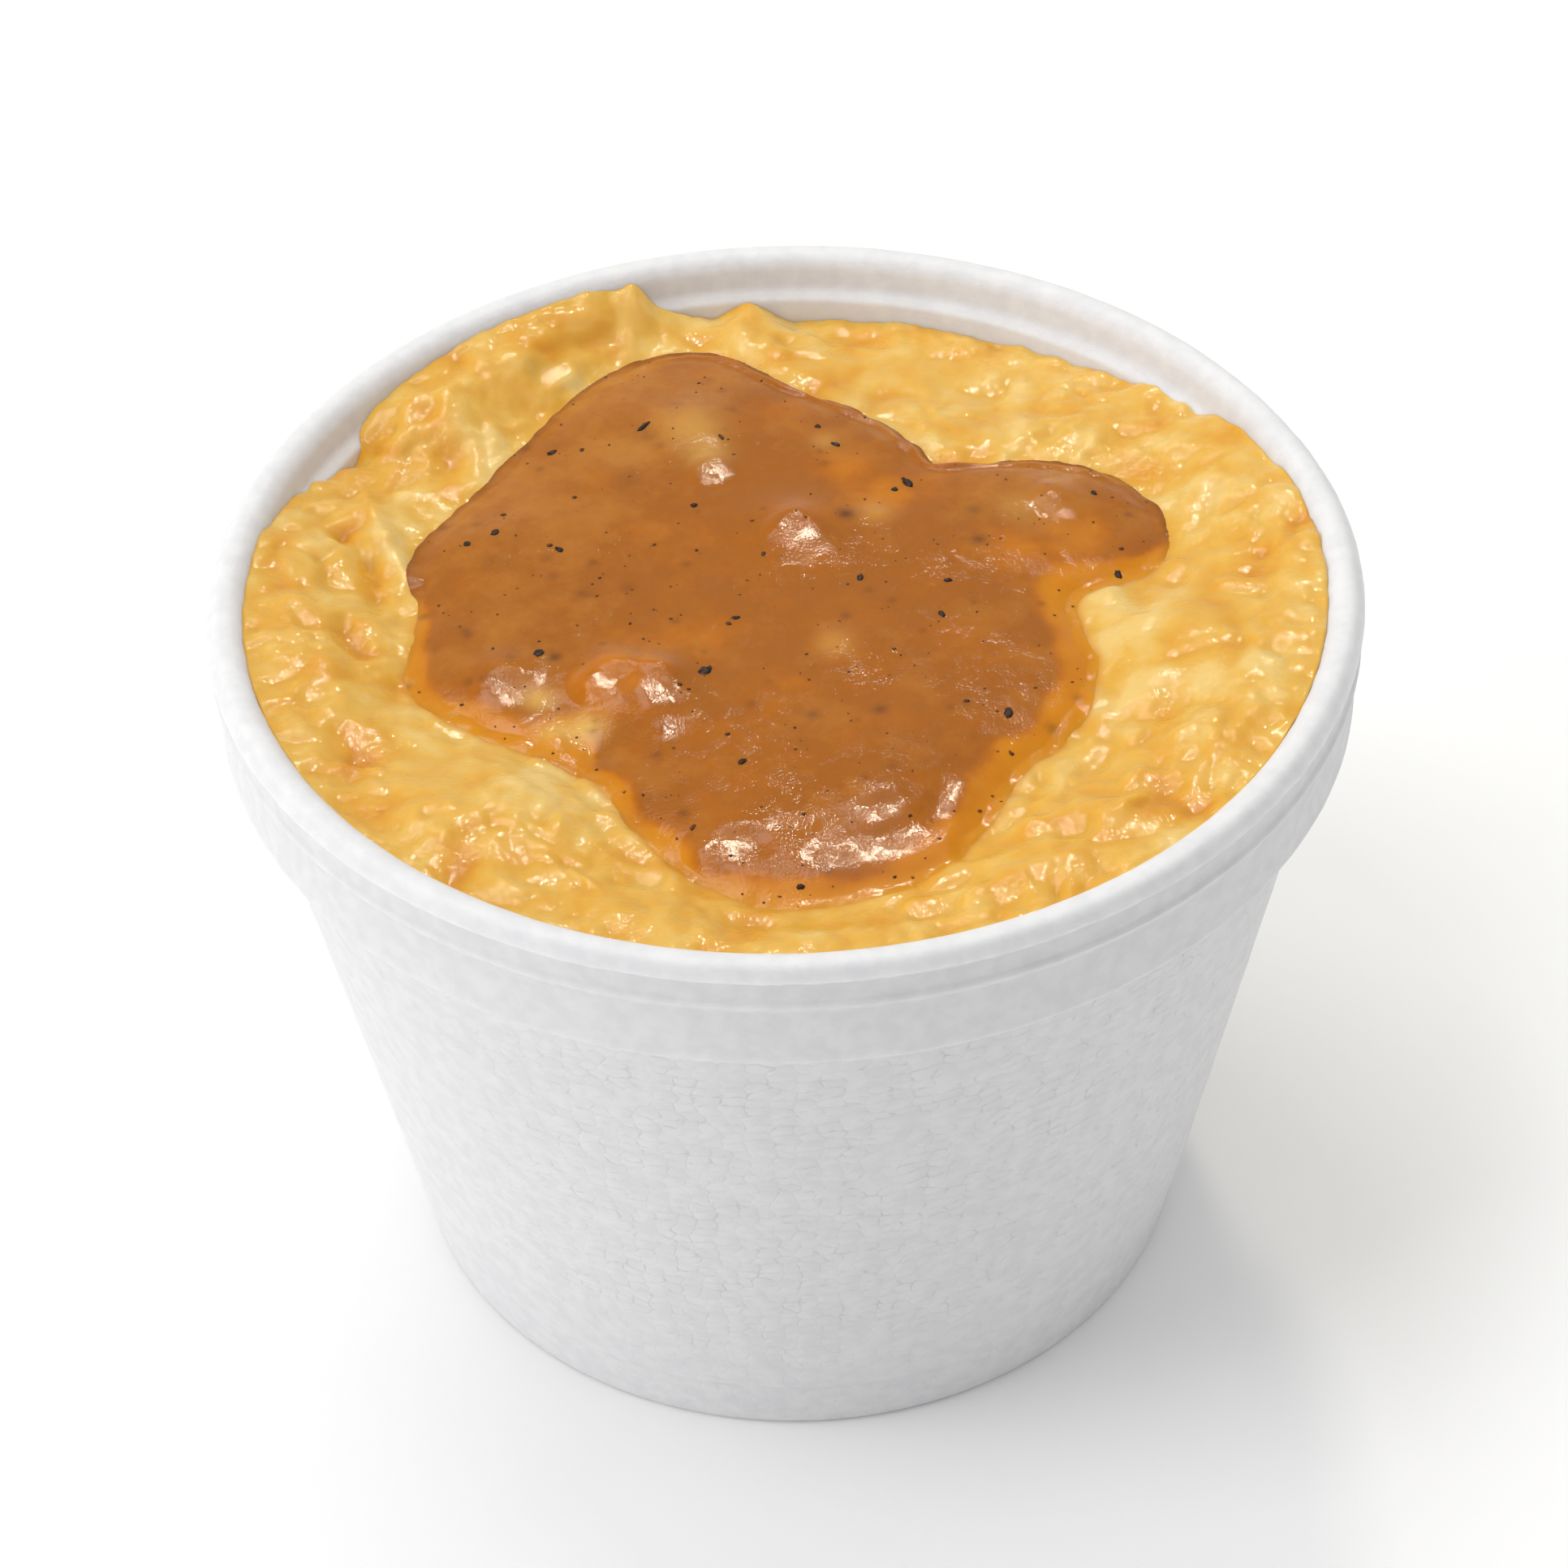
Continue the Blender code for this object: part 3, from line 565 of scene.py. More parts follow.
potato = {
    "segments": 305,
    "blurRounds": 40,
    "radius": 42.0,  # at the wall, in mm
    "tuck": 0.12, "climb": 0.12,  # how far its edge reaches into the cup's wall and clings up it, in mm
    "swell": 0.15, "fold": 0.15, "lump": 0.34, "curd": 0.26, "fine": 0.06,  # heights in mm
    "levels": (50.0 * mm, 25.0 * mm, 7.0 * mm),  # heights of the rings down its side
    "foot": 4.6 * mm, "footInset": 2.0 * mm,
    "colours": [
        (0.0, (212, 140, 6)), (0.25, (221, 157, 30)), (0.5, (223, 167, 52)), (0.75, (226, 178, 74)),
        (1.0, (230, 194, 112)),
    ],
    "stainColour": linear(198, 120, 16),  # where gravy has soaked in
    # shallow troughs and swells of the whole surface: from x, y to x, y, width, rise (mm)
    "troughs": [(-4.0, -36.0, 10.0, -34.5, 3.2, -0.6), (16.0, -28.0, 22.0, -20.0, 4.5, -0.3)],
    # bumps of its edge along the wall: azimuth, half width (degrees), rise (mm)
    "wallLifts": [
        (106.5, 1.7, 1.5), (97.5, 1.8, -0.8), (93, 1.5, 0.6), (88, 2, -0.5), (149.3, 1.7, -1.2),
        (155.8, 1.8, 0.5), (115, 5, 0.15), (60, 2, 0.3), (52, 1.5, -0.3), (41, 2, 0.3), (33, 1.6, -0.3),
        (27, 2, 0.3), (74, 2, 0.25), (20, 2, -0.2),
    ],
    # rougher (+) and smoother (-) places: x, y, radius, strength
    "roughness": [
        (28, -24, 8, 0.5), (16, -34, 7, 0.4), (-30, 23, 6, 0.5), (-34, -4, 6, 0.3), (24, 22, 7, 0.3),
        (36, 10, 6, 0.4), (-27, 13, 4, -0.5), (-27, -19, 4, -0.3), (30, -8, 6, -0.2), (8, 33, 6, -0.3),
        (-21, -26, 5, 0.3), (-9, -37, 5, 0.4),
    ],
    # folds and creases in the surface: from x, y to x, y, width, rise (mm)
    "folds": [
        (-34.4, 14.8, -32.4, 9.2, 0.9, 0.63), (-32.4, 9.2, -29.6, 4.2, 0.9, 0.56),
        (-35.6, 9.6, -33.4, 6.2, 0.9, -0.36), (-33.4, 6.2, -32.8, 0.5, 0.8, -0.56),
        (-38.2, 12.4, -35.6, 9.6, 1, -0.3), (-37.6, 6, -36.6, 4.2, 0.4, -0.3),
        (-36.4, 7.6, -34.6, 2, 1.3, 0.3), (-38.6, -0.6, -36.4, -4.6, 0.6, 0.22),
        (-34, -1.6, -32.6, -4.4, 0.6, 0.3), (-35.4, -1.8, -34, -5.4, 0.7, -0.17),
        (-34.8, -20.6, -31.4, -20.2, 0.6, 0.3), (-33.5, -18.6, -31.2, -19.2, 1, -0.22),
        (-34.6, -23.2, -32.6, -22.4, 0.4, 0.17), (-25.8, -29, -23.6, -27.2, 0.6, 0.22),
        (-21.6, -33.8, -17.6, -32.6, 0.6, 0.19), (-16.6, -32.4, -14.6, -34.4, 0.4, 0.17),
        (-12.4, -31, -8, -33.2, 0.7, 0.22), (-12.2, -27, -11, -29, 0.6, 0.19),
        (-19.8, 31.2, -14.2, 34.2, 1.7, 0.22), (-20, 33.2, -15, 36, 0.8, -0.3),
        (-23.8, 24, -22.8, 20, 1.4, 0.22), (-31, 15, -26, 17.4, 1.8, 0.19),
        (-33.4, 25, -28, 27, 0.9, 0.19), (-33.2, 22, -29, 25.4, 0.8, -0.17),
        (25.7, -0.6, 25.9, 0.9, 1.2, 0.56), (24.2, -2, 24, -0.4, 1.2, 0.22),
        (26.6, -2.6, 27.2, -4.2, 1.1, 0.19), (31, 1.2, 32, 3.2, 0.4, 0.22),
        (38.8, 0, 38.6, 5, 0.9, -0.22), (33, 9, 35, 12.4, 0.7, 0.19), (22.6, 19.4, 26, 20.6, 0.8, 0.19),
        (15.6, -26, 19, -24.8, 0.7, 0.19), (26, -17.6, 28.4, -17.2, 0.6, 0.17),
        (13.4, -28.8, 15.4, -26.8, 0.6, 0.17), (2, 34.6, 8, 33.2, 1, 0.17),
        (11, 20.6, 14.2, 20.2, 1.3, 0.17), (26.5, -5.5, 28, -14, 2.2, 0.17),
        # lumps that come up through the thin gravy
        (-19.8, -11, -19, -11.8, 1.1, 0.9), (-18.6, -14.6, -17.8, -15.6, 1.1, 1),
        (-16.2, -13.6, -15.2, -15.6, 1.3, 1.4), (-14.6, -17.8, -14.2, -18.6, 1.1, -1),
    ],
    # wet places that face the lamp: from x, y to x, y, half width (mm)
    # this list was picked from one made by a scratch program, as report.md says
    "mirrors": [
        (-10.7, -32.4, -10.3, -31.4, 0.7), (7.6, -35.4, 9.2, -35.2, 0.6),
        (9.4, -36.6, 11.4, -36.4, 0.8), (13.6, -36.7, 15.8, -36.4, 0.6),
        (11.4, -33.4, 12.4, -32.6, 0.6), (15.3, -27.1, 17, -25.5, 0.6), (-4.3, -36.6, -2, -37, 0.5),
        (18.5, -34.5, 20.6, -33.7, 0.8), (28.5, -25.2, 30.4, -26, 0.9), (23.1, -30, 25.5, -29.6, 0.9),
        (25.6, -30, 28, -28.7, 0.7), (26.5, -24.3, 28.3, -24.9, 0.7), (23.2, -20.4, 24, -18.3, 0.5),
        (30.1, -21.5, 30.4, -19.6, 0.7), (18.3, -28.6, 21.2, -29.1, 0.7), (24.3, -17, 24.6, -15.4, 0.4),
        (31.2, 1.4, 31.6, 3.2, 0.4), (33.2, 8.5, 34.2, 10.6, 0.5), (33.9, 10.6, 34.8, 12.2, 0.5),
        (35.5, -1.1, 37.6, -1.9, 0.5), (38.2, -10.1, 39.1, -8.8, 0.5), (-27, -13.9, -25.6, -14.9, 0.4),
        (-14.2, -25.9, -12.8, -27.7, 0.5), (-12.8, -28.2, -11.4, -30, 0.5),
        (-33.6, -22, -33.8, -20.6, 0.4), (-34.2, -4, -33, -2.7, 0.5), (-36.9, -12, -36.1, -8.4, 0.5),
        (-24.4, -27.4, -24, -29, 0.6), (-18.8, -18.9, -17.4, -19.4, 0.5),
        (-15.3, -21.5, -14.6, -23.3, 0.4), (-20.2, -32.6, -18.2, -33.4, 0.6),
        (-21.4, -29.4, -20.4, -31.4, 0.6), (-34.2, -16, -32.2, -16.1, 0.6), (-36, 3.5, -34, 3.4, 0.5),
        (-30.6, 24, -29.8, 25.8, 0.5), (-19.8, 30.8, -18.2, 31.8, 0.5), (-35.8, 16.3, -35.3, 17.6, 0.4),
        (-31.2, 17.6, -30.9, 19.2, 0.5), (25.7, 29.6, 27.6, 29.1, 0.4), (22.6, 19.7, 24.3, 20.1, 0.4),
        (1.1, 36.7, 2.9, 36.9, 0.3), (-38.6, -0.8, -37.6, -2.7, 0.5),
    ],
    # paler (+) and more golden (-) places: x, y, radius, strength
    "tones": [
        (-17, 32.5, 2.6, 0.5), (-23.4, 22, 2.2, 0.6), (-28.5, 15.5, 3.6, 0.6), (-31.5, 12, 2.2, 0.35),
        (-31, 7, 1.8, 0.35), (-37.5, 8.5, 2.5, 0.3), (-30.5, 0.5, 1.6, 0.5), (-33.5, -8.5, 4, 0.3),
        (-27.5, -14.5, 3, 0.4), (-19, -20.5, 3.2, 0.6), (-15, -22.8, 2, 0.6), (-22, -26, 4, 0.3),
        (-17, -27.5, 3, 0.3), (-13, -25.5, 1.6, 0.3), (-10, -37.5, 3, 0.3), (2, -38, 3, 0.2),
        (25.3, -1, 2.2, 0.8), (26.5, -7, 3.2, 0.35), (29, -4, 3, 0.2), (30, -12, 4, 0.4),
        (25, -14, 2.2, 0.5), (37, -12.3, 1.8, 1), (18.5, -22.5, 3, 0.3), (12.6, 20.2, 1.8, 0.6),
        (15.5, 28, 3.5, 0.3), (20.5, 31, 2.5, 0.3), (35, 27, 3, 0.3), (36, 12, 2.5, 0.35),
        (40, 8, 2, 0.5), (-2, 37.5, 2.2, 0.3), (31, 14, 5, 0.2), (22, 24, 6, 0.15),
        (-19, -11.6, 1.6, 0.3), (-17.7, -15.6, 1.6, 0.2), (-15.5, -14.8, 1.4, 0.6),
        (-16.2, 35.4, 1.5, -1), (-19.6, 33.4, 1.2, -0.8), (-33.8, 21, 3.5, -0.5),
        (-34.5, 16.5, 2, -0.5), (-33.3, 4, 1.2, -0.8), (-35.4, 9.6, 1.4, -0.5), (-37, 5.2, 1, -0.5),
        (-30, 28.5, 3.5, -0.3), (-32.5, -19, 2.6, -0.9), (-40, -3, 2, -0.4), (-29.5, -24.5, 3, -0.3),
        (-35, -26, 3, -0.4), (-14, -35.5, 3, -0.35), (-6, -37.5, 5, -0.6), (-35, -8, 6, -0.4),
        (-31, 18, 4, -0.4), (-24, -32.5, 3, -0.3), (6, -36, 2.5, -0.3), (14, -30, 3, -0.3),
        (24, -27, 4, -0.4), (32, -24, 4, -0.3), (20, -35, 3, -0.3), (38.6, 3, 2, -0.7),
        (25.5, 25, 2.6, -0.4), (31, 22.5, 2.2, -0.4), (5.5, 31.5, 2, -0.6), (1, 33.5, 2, -0.4),
        (33.5, -4, 1.8, -0.5), (42.5, 6, 1.5, -0.6), (16.5, 24, 3, -0.2), (36, 18, 3, -0.2),
        # the last spot is painted shade in a hollow
        (-14.4, -18.2, 1.3, -2),
    ],
}


def potatoRelief(x, y):  # fine lumps and folds, in mm
    driftX = x + 0.9 * mm * noiseField(x, y, 4.0, 3.0)
    driftY = y + 0.9 * mm * noiseField(x, y, 4.0, 7.0)
    rough = 0.75 + 0.5 * noiseField(x, y, 7.0, 11.0) + spotField(x, y, potato["roughness"])
    rough = np.clip(rough, 0.15, 1.6)
    radius, angle = np.hypot(x, y), np.arctan2(y, x)
    # streaks left by the spoon run round the front right
    spooned = smoothStep(np.cos(angle + math.radians(50.0)), 0.3, 0.85)
    spooned *= smoothStep(radius, 14.0 * mm, 22.0 * mm)
    folds = noiseField(driftX, driftY * 1.2, 2.6, 5.0)
    streaks = noiseField(angle * 7.0 * mm, radius + 0.5 * (driftX - x), 1.7, 13.0)
    relief = potato["swell"] * noiseField(driftX, driftY, 5.5, 1.0, 2)
    relief += potato["fold"] * rough * (folds + (streaks - folds) * spooned * 0.9)
    lumps = curdField(driftX, driftY, 3.1, 17.0) - 0.75
    relief += potato["lump"] * (0.4 + 0.6 * rough) * lumps
    relief += potato["curd"] * rough * (curdField(driftX, driftY, 1.6, 9.0) - 0.75)
    relief += potato["fine"] * rough * noiseField(x, y, 0.9, 2.0)
    relief += strokeField(x + 0.4 * (driftX - x), y + 0.4 * (driftY - y), potato["folds"])
    return relief, rough, lumps


def potatoMaterial():
    material, tree, shader = newMaterial("mashedPotato")
    place = addNode(tree, "ShaderNodeTexCoord").outputs["Object"]
    # the tone carries the potato's own colour and also painted light and shade that follow its relief
    toneAndShade, rough, stain, edge = attributeNodes(tree, "toneAndShade", "rough", "stain", "edge")
    mottle = rangeNode(tree, noiseNode(tree, place, 2.4, 4.0, 0.6), 0.25, 0.75, -0.16, 0.16)
    tint = rampNode(tree, mathNode(tree, "ADD", toneAndShade, mottle), potato["colours"])
    tree.links.new(mixColour(tree, stain, tint, potato["stainColour"]), shader.inputs["Base Color"])
    grain = bumpNode(tree, noiseNode(tree, place, 0.7, 3.0, 0.6), 0.2, 0.05)
    tree.links.new(grain, shader.inputs["Normal"])
    # the wet skin over it has a finer grain, and clusters of specks where the potato is rough
    specks = rangeNode(tree, noiseNode(tree, place, 0.42, 2.0, 0.5), 0.48, 0.72)
    clusters = rangeNode(tree, noiseNode(tree, place, 3.2, 4.0, 0.6), 0.46, 0.62, 0.12, 1.0)
    skin = bumpNode(tree, noiseNode(tree, place, 0.36, 2.0), 1.0, 0.045)
    skin = bumpNode(tree, product(tree, specks, clusters, rough), 1.0, 0.06, skin)
    tree.links.new(skin, shader.inputs["Coat Normal"])
    wet = rangeNode(tree, noiseNode(tree, place, 3.2, 3.0), 0.35, 0.7, 0.4, 0.55)
    tree.links.new(wet, shader.inputs["Roughness"])
    tree.links.new(rangeNode(tree, edge, 0.0, 1.0, 0.8, 0.05), shader.inputs["Subsurface Weight"])
    setInputs(shader, {"IOR": 1.3, "Subsurface Radius": (1.0, 0.65, 0.25), "Subsurface Scale": 1.2 * mm,
                       "Coat Weight": 1.0, "Coat Roughness": 0.05, "Coat IOR": 1.38})
    return material


def wallLevels(angle):  # height of the potato's edge at the cup's wall
    degrees = np.mod(np.degrees(angle), 360.0)
    level = ringLookup(wallRing, angle)
    for azimuth, width, rise in potato["wallLifts"]:
        level = level + rise * mm * np.exp(-((degrees - azimuth) / width) ** 2)
    rim = np.column_stack((np.cos(angle), np.sin(angle))) * potato["radius"] * mm
    level = level + 0.16 * mm * noiseField(rim[:, 0], rim[:, 1], 2.2, 51.0, 2)
    return np.minimum(level, cup["crest"] - 0.5 * mm)


def layPotato(bm, x, y, plain, byWall):  # lays the grid on the plain solids and rounds off their facets
    z = np.array([dropOn(cadTop, a * 0.985, b * 0.985, c) for a, b, c in zip(x, y, plain)])
    z = np.where(byWall > 0.999, plain, z)
    moveVerts(bm, np.column_stack((x, y, z)))
    inner = [v for v in bm.verts if not v.is_boundary]
    for _ in range(potato["blurRounds"]):
        bmesh.ops.smooth_vert(bm, verts=inner, factor=0.5, use_axis_x=False, use_axis_y=False,
                              use_axis_z=True)
    troughs = strokeField(x, y, potato["troughs"]) * mm * (1.0 - smoothStep(byWall, 0.92, 1.0))
    z = vertexArray(bm)[:, 2] + troughs
    moveVerts(bm, np.column_stack((x, y, z)))
    return z


def downTo(height, inset=0.0):  # a step down the cup's wall
    reach = float(cupInnerRadius(height)) - inset

    def step(place):
        flat = Vector((place.x, place.y)).normalized() * reach
        return Vector((flat.x, flat.y, height))
    return step


def makePotato():
    bm = discGrid(potato["segments"])
    at = vertexArray(bm)
    angle = np.arctan2(at[:, 1], at[:, 0])
    byWall = np.hypot(at[:, 0], at[:, 1])
    fromWall = (1.0 - byWall) * potato["radius"]
    level, plain = wallLevels(angle), ringLookup(wallRing, angle)
    reach = cupInnerRadius(level) + potato["tuck"] * mm
    x, y = at[:, 0] * reach, at[:, 1] * reach
    z = layPotato(bm, x, y, plain, byWall)
    plainTop = BVHTree.FromBMesh(bm)
    ragged = gravyShape(x, y, edgeDistance(x, y))[0]
    relief, rough, lumps = potatoRelief(x, y)
    z, calm = flatten(x, y, z, potato["mirrors"], 1.4)
    # calmer at the wall, under the gravy and where it is wet
    relief *= 1.0 - 0.5 * smoothStep(byWall, 0.985, 1.0) - 0.6 * smoothStep(ragged, -0.8, 1.0)
    relief *= 1.0 - 0.6 * calm
    nearWall = np.exp(-(fromWall / 2.2) ** 2)
    climb = potato["climb"] * np.exp(-fromWall / 0.8)
    dip = 0.3 * smoothStep(ragged, -0.6, 1.0) + 1.2 * smoothStep(ragged, 0.5, 5.0)
    z = z + (level - plain) * nearWall + (relief + climb - dip) * mm
    moveVerts(bm, np.column_stack((x, y, z)))
    top = len(bm.verts)
    steps = [downTo(height) for height in potato["levels"]]
    skirt(bm, steps + [downTo(potato["foot"], potato["footInset"])])
    potatoTop = BVHTree.FromBMesh(bm)
    extra = len(bm.verts) - top
    piece = newPiece("potatoMash", bm, potatoMaterial(), "mashed_potato")
    # paler on the lumps and more golden in the creases, following the relief: partly the potato's own
    # buttery colour, partly painted light on the tops and painted shade in the creases
    toneAndShade = 0.5 + 0.4 * relief + 0.45 * lumps + 0.45 * spotField(x, y, potato["tones"])
    toneAndShade += 0.12 * noiseField(x, y, 6.0, 21.0, 3)
    stain = 0.75 * np.exp(-(np.maximum(-ragged, 0.0) / 0.45)) * smoothStep(ragged, -2.0, 0.2)
    stain *= np.clip(spotField(x, y, gravy["films"]) / 2.0, 0.1, 1.0)
    edge = np.maximum(np.exp(-(fromWall / 0.9) ** 2), np.exp(-((ragged + 0.3) / 0.9) ** 2))
    # values on the top, and one for all the hidden rest
    for name, values, hidden in (("toneAndShade", toneAndShade, 0.4), ("rough", rough, 0.5), ("stain", stain, 0.0),
                                 ("edge", edge, 0.0)):
        addAttribute(piece, name, np.concatenate((np.clip(values, 0.0, 1.2), np.full(extra, hidden))))
    return plainTop, potatoTop


# ---- gravy ----

gravy = {
    "segments": 270,
    "spread": 1.2 * mm,  # it runs on a little under the potato
    "colours": [
        (0.0, (208, 131, 3)), (0.3, (202, 123, 0)), (0.6, (182, 104, 0)), (0.8, (167, 94, 2)),
        (1.0, (160, 91, 6)),
    ],
    "milkColour": linear(178, 110, 28), "paleColour": linear(216, 168, 84),
    # the dark brown below paints blurred pepper and also a painted shadow along the pool's thick edge
    "rimColour": linear(208, 140, 10), "smudgeAndShadowColour": linear(84, 44, 16),
    # places where a thin film runs out round the thicker body: x, y, radius, width of the film (mm)
    "films": [
        (-17, -13.5, 4.5, 4), (-13, -22, 3, 1.8), (-10, -29, 3.5, 2), (-3, -34, 4, 2.4),
        (3, -34.5, 4, 1.6), (9, -32.5, 4, 2), (14, -28, 4, 4.2), (17.5, -21, 4, 4.5),
        (22.5, -14, 4, 4.6), (23.5, -6, 4, 3.8), (22.5, 1, 4.5, 4), (-29, -8, 3.5, 2),
        (-24, -14, 3.5, 3), (-29.5, -1, 2.5, 1.2), (29.5, 3, 3, 2),
    ],
    # shallow places inside: x, y, radius, loss of depth (mm)
    "shallows": [
        (9, 13.5, 4.5, 0.8), (5.5, 18, 3, 0.6), (-8, 7.5, 4, 0.6), (23.5, 6.5, 4, 1),
        (-16, -12, 3, 0.9), (-7, -6.5, 4, 0.5), (-12, -9, 4, 0.5), (1, 26, 2, 0.4), (19, 4, 3, 0.6),
        (-18, 16, 3, 0.4), (-5, 30, 2, 0.4), (17, -8, 4, 0.3), (-22, 4, 3, 0.3), (2, -12, 5, 0.2),
    ],
    # lumps and dents in its surface: x, y, radius, rise (mm)
    "lumps": [
        (-7.5, 22.5, 3, 0.3), (-5.5, 17.5, 1.5, 0.4), (1, 9.8, 1.7, 0.5), (4, -5.8, 1.6, 0.2),
        (-13.6, -8.6, 2, 0.7), (-10, -9.4, 1.9, 0.8), (-8.8, -13, 2, 0.4), (-22.2, -8.2, 2.2, 0.6),
        (22.2, 12.6, 1.8, 0.45), (21, 9.6, 1.6, -0.3), (-17, -13.8, 4, -0.45), (-15, -17.8, 2, -0.6),
        (7.5, 10.3, 1.6, 0.2), (-25, 9, 3, 0.2), (-14, 26, 4, 0.25), (9, 21, 1.5, 0.2),
        (-4.6, -27.4, 2.2, 0.3), (6.5, -24, 3, 0.3), (-2, -12, 5, 0.2), (14, 6, 4, 0.2),
    ],
    # places where its skin lies flat and mirrors the lamp: from x, y to x, y, half width (mm)
    "mirrors": [
        (2.2, -30.9, 10.4, -28.4, 1), (5.8, -26.9, 7.2, -26.4, 0.3), (11, -26.6, 12.8, -23.4, 0.05),
        (-6, -29.7, -3.4, -29.4, 0.5), (-14.8, -10.4, -12.6, -11, 0.6), (-10.8, -11.2, -9.4, -13, 0.6),
        (-9.2, -15.2, -8.8, -16.4, 0.25), (-22.8, -10.2, -21.4, -10.9, 0.4), (0.3, 8.2, 1.6, 8, 0.4),
        (-5.8, 17, -5.5, 15.9, 0.5),
    ],
    # raised roll along the edge: from x, y to x, y, width, strength
    "rolls": [
        (-9, 35, -3.5, 34, 2.2, 0.9), (-3.5, 34, 0.5, 30, 2.2, 1.1), (0.5, 30, 7, 26, 2.2, 1.2),
        (7, 26, 11.5, 21, 2.2, 1.1), (11.5, 21, 14, 17.8, 2, 1.2), (14, 17.8, 26, 16.6, 2.2, 1.2),
        (-15, 32, -21, 24, 1.8, 0.4), (-25, 16.5, -29.5, 11, 1.8, 0.5),
    ],
    # milkier skin (+) and clearer (-): x, y, radius, strength
    "milk": [
        (-20, 14, 8, 0.6), (-12, 28, 7, 0.7), (22, 12.5, 4.5, 0.9), (-25, 0, 7, 0.5), (-5, 30, 4, 0.6),
        (16, 12, 3, 0.4), (4, 4, 9, -0.4), (10, -14, 8, 0.1), (-3, 12, 6, -0.4), (-14, 18, 4, 0.2),
        (5, 22, 4, 0.3),
    ],
    # pale lumps under the surface
    "pale": [
        (-19.4, -11.4, 1.3, 0.8), (-18.2, -15.1, 1.3, 0.7), (-15.7, -14.8, 1.5, 1),
        (-7.2, 22.5, 2.6, 0.5), (-6, 19, 1.8, 0.45), (7.5, 10.5, 1.5, 0.35), (3.8, -6.6, 1.6, 0.35),
        (3.6, 21, 1.2, 0.3), (-13, 20, 2.5, 0.15), (19.5, 10.8, 2, 0.3),
    ],
    # blurred pepper under the surface
    "smudges": [
        (5.2, 10.3, 0.7, 1), (15.8, 6.5, 0.6, 0.8), (-18.2, -6.8, 0.6, 0.9), (7.1, -14.8, 0.6, 0.8),
        (1.9, -15.2, 0.6, 0.6), (-28.8, 0, 0.5, 0.6), (20.3, -16.2, 0.6, 0.5), (5.6, -23.2, 0.4, 0.5),
        (7.8, -21.8, 0.4, 0.4), (-16, 1, 0.6, 0.35), (-12.5, 1.6, 0.6, 0.35), (-18.5, 3.5, 0.5, 0.35),
        (15.6, 10.6, 0.6, 0.6), (-11, 21.8, 0.8, 0.3), (-12.6, 16.5, 1.2, 0.25), (-30, -8.6, 0.5, 0.6),
        (-24.9, -9.3, 0.5, 0.5), (-21.7, -7.1, 0.4, 0.4), (-23.5, 5.5, 1, 0.2), (-25.4, -2.8, 0.4, 0.5),
        (8.5, -1, 0.4, 0.4), (-1.5, -11, 0.4, 0.3), (12.5, -14.5, 0.4, 0.4),
    ],
    "smudgeCount": 70,
}


def gravyShape(x, y, inside):  # distance in from its ragged edge (mm), and how thick it looks (0 to 1)
    ragged = inside + 0.3 * noiseField(x, y, 3.4, 31.0, 2)
    width = spotField(x, y, gravy["films"]) * (1.0 + 0.3 * noiseField(x, y, 3.5, 35.0))
    thick = smoothStep(ragged, 0.45 * width - 0.9, 0.3 + 1.9 * width)
    thick -= 0.45 * spotField(x, y, gravy["shallows"]) * smoothStep(ragged, 0.0, 3.0)
    return ragged, np.clip(thick, 0.0, 1.0)


def gravyMaterial():
    material, tree, shader = newMaterial("brownGravy")
    place = addNode(tree, "ShaderNodeTexCoord").outputs["Object"]
    thick, edge, rim, milk, pale, smudgeAndShadow = attributeNodes(
        tree, "thick", "edge", "rim", "milk", "pale", "smudgeAndShadow")
    cloud = rangeNode(tree, noiseNode(tree, place, 6.0, 4.0, 0.6), 0.3, 0.7, -0.25, 0.2)
    tint = rampNode(tree, mathNode(tree, "ADD", thick, cloud), gravy["colours"])
    wisps = rangeNode(tree, noiseNode(tree, place, 4.5, 5.0, 0.65), 0.35, 0.7, -0.4, 0.6)
    milk = mathNode(tree, "MULTIPLY", mathNode(tree, "ADD", milk, wisps), thick)
    # the last colour is blurred pepper and a painted shadow along the thick edge
    for amount, colour in ((milk, "milkColour"), (pale, "paleColour"), (rim, "rimColour"),
                           (mathNode(tree, "MULTIPLY", smudgeAndShadow, 0.8), "smudgeAndShadowColour")):
        tint = mixColour(tree, amount, tint, gravy[colour])
    tree.links.new(tint, shader.inputs["Base Color"])
    grain = noiseNode(tree, place, 0.24, 2.0, 0.5)
    patches = rangeNode(tree, noiseNode(tree, place, 1.3, 2.0), 0.4, 0.6, 0.35, 1.0)
    normal = bumpNode(tree, noiseNode(tree, place, 1.6, 2.0), 0.3, 0.06)
    tree.links.new(bumpNode(tree, grain, 0.4, 0.03, normal), shader.inputs["Normal"])
    skin = bumpNode(tree, product(tree, grain, patches), 1.0, 0.045, normal)
    tree.links.new(skin, shader.inputs["Coat Normal"])
    tree.links.new(rangeNode(tree, grain, 0.2, 0.8, 0.3, 0.4), shader.inputs["Roughness"])
    tree.links.new(rangeNode(tree, edge, 0.05, 0.6, 0.6, 0.05), shader.inputs["Subsurface Weight"])
    setInputs(shader, {"IOR": 1.12, "Subsurface Radius": (1.0, 0.4, 0.1), "Subsurface Scale": 1.2 * mm,
                       "Coat Weight": 1.0, "Coat Roughness": 0.06, "Coat IOR": 1.34})
    return material


def drawnIn(sink, shrink):  # a step down and in towards the middle, under the pool
    def step(place):
        return Vector((gravyCentre[0] + (place.x - gravyCentre[0]) * shrink,
                       gravyCentre[1] + (place.y - gravyCentre[1]) * shrink, place.z - sink))
    return step


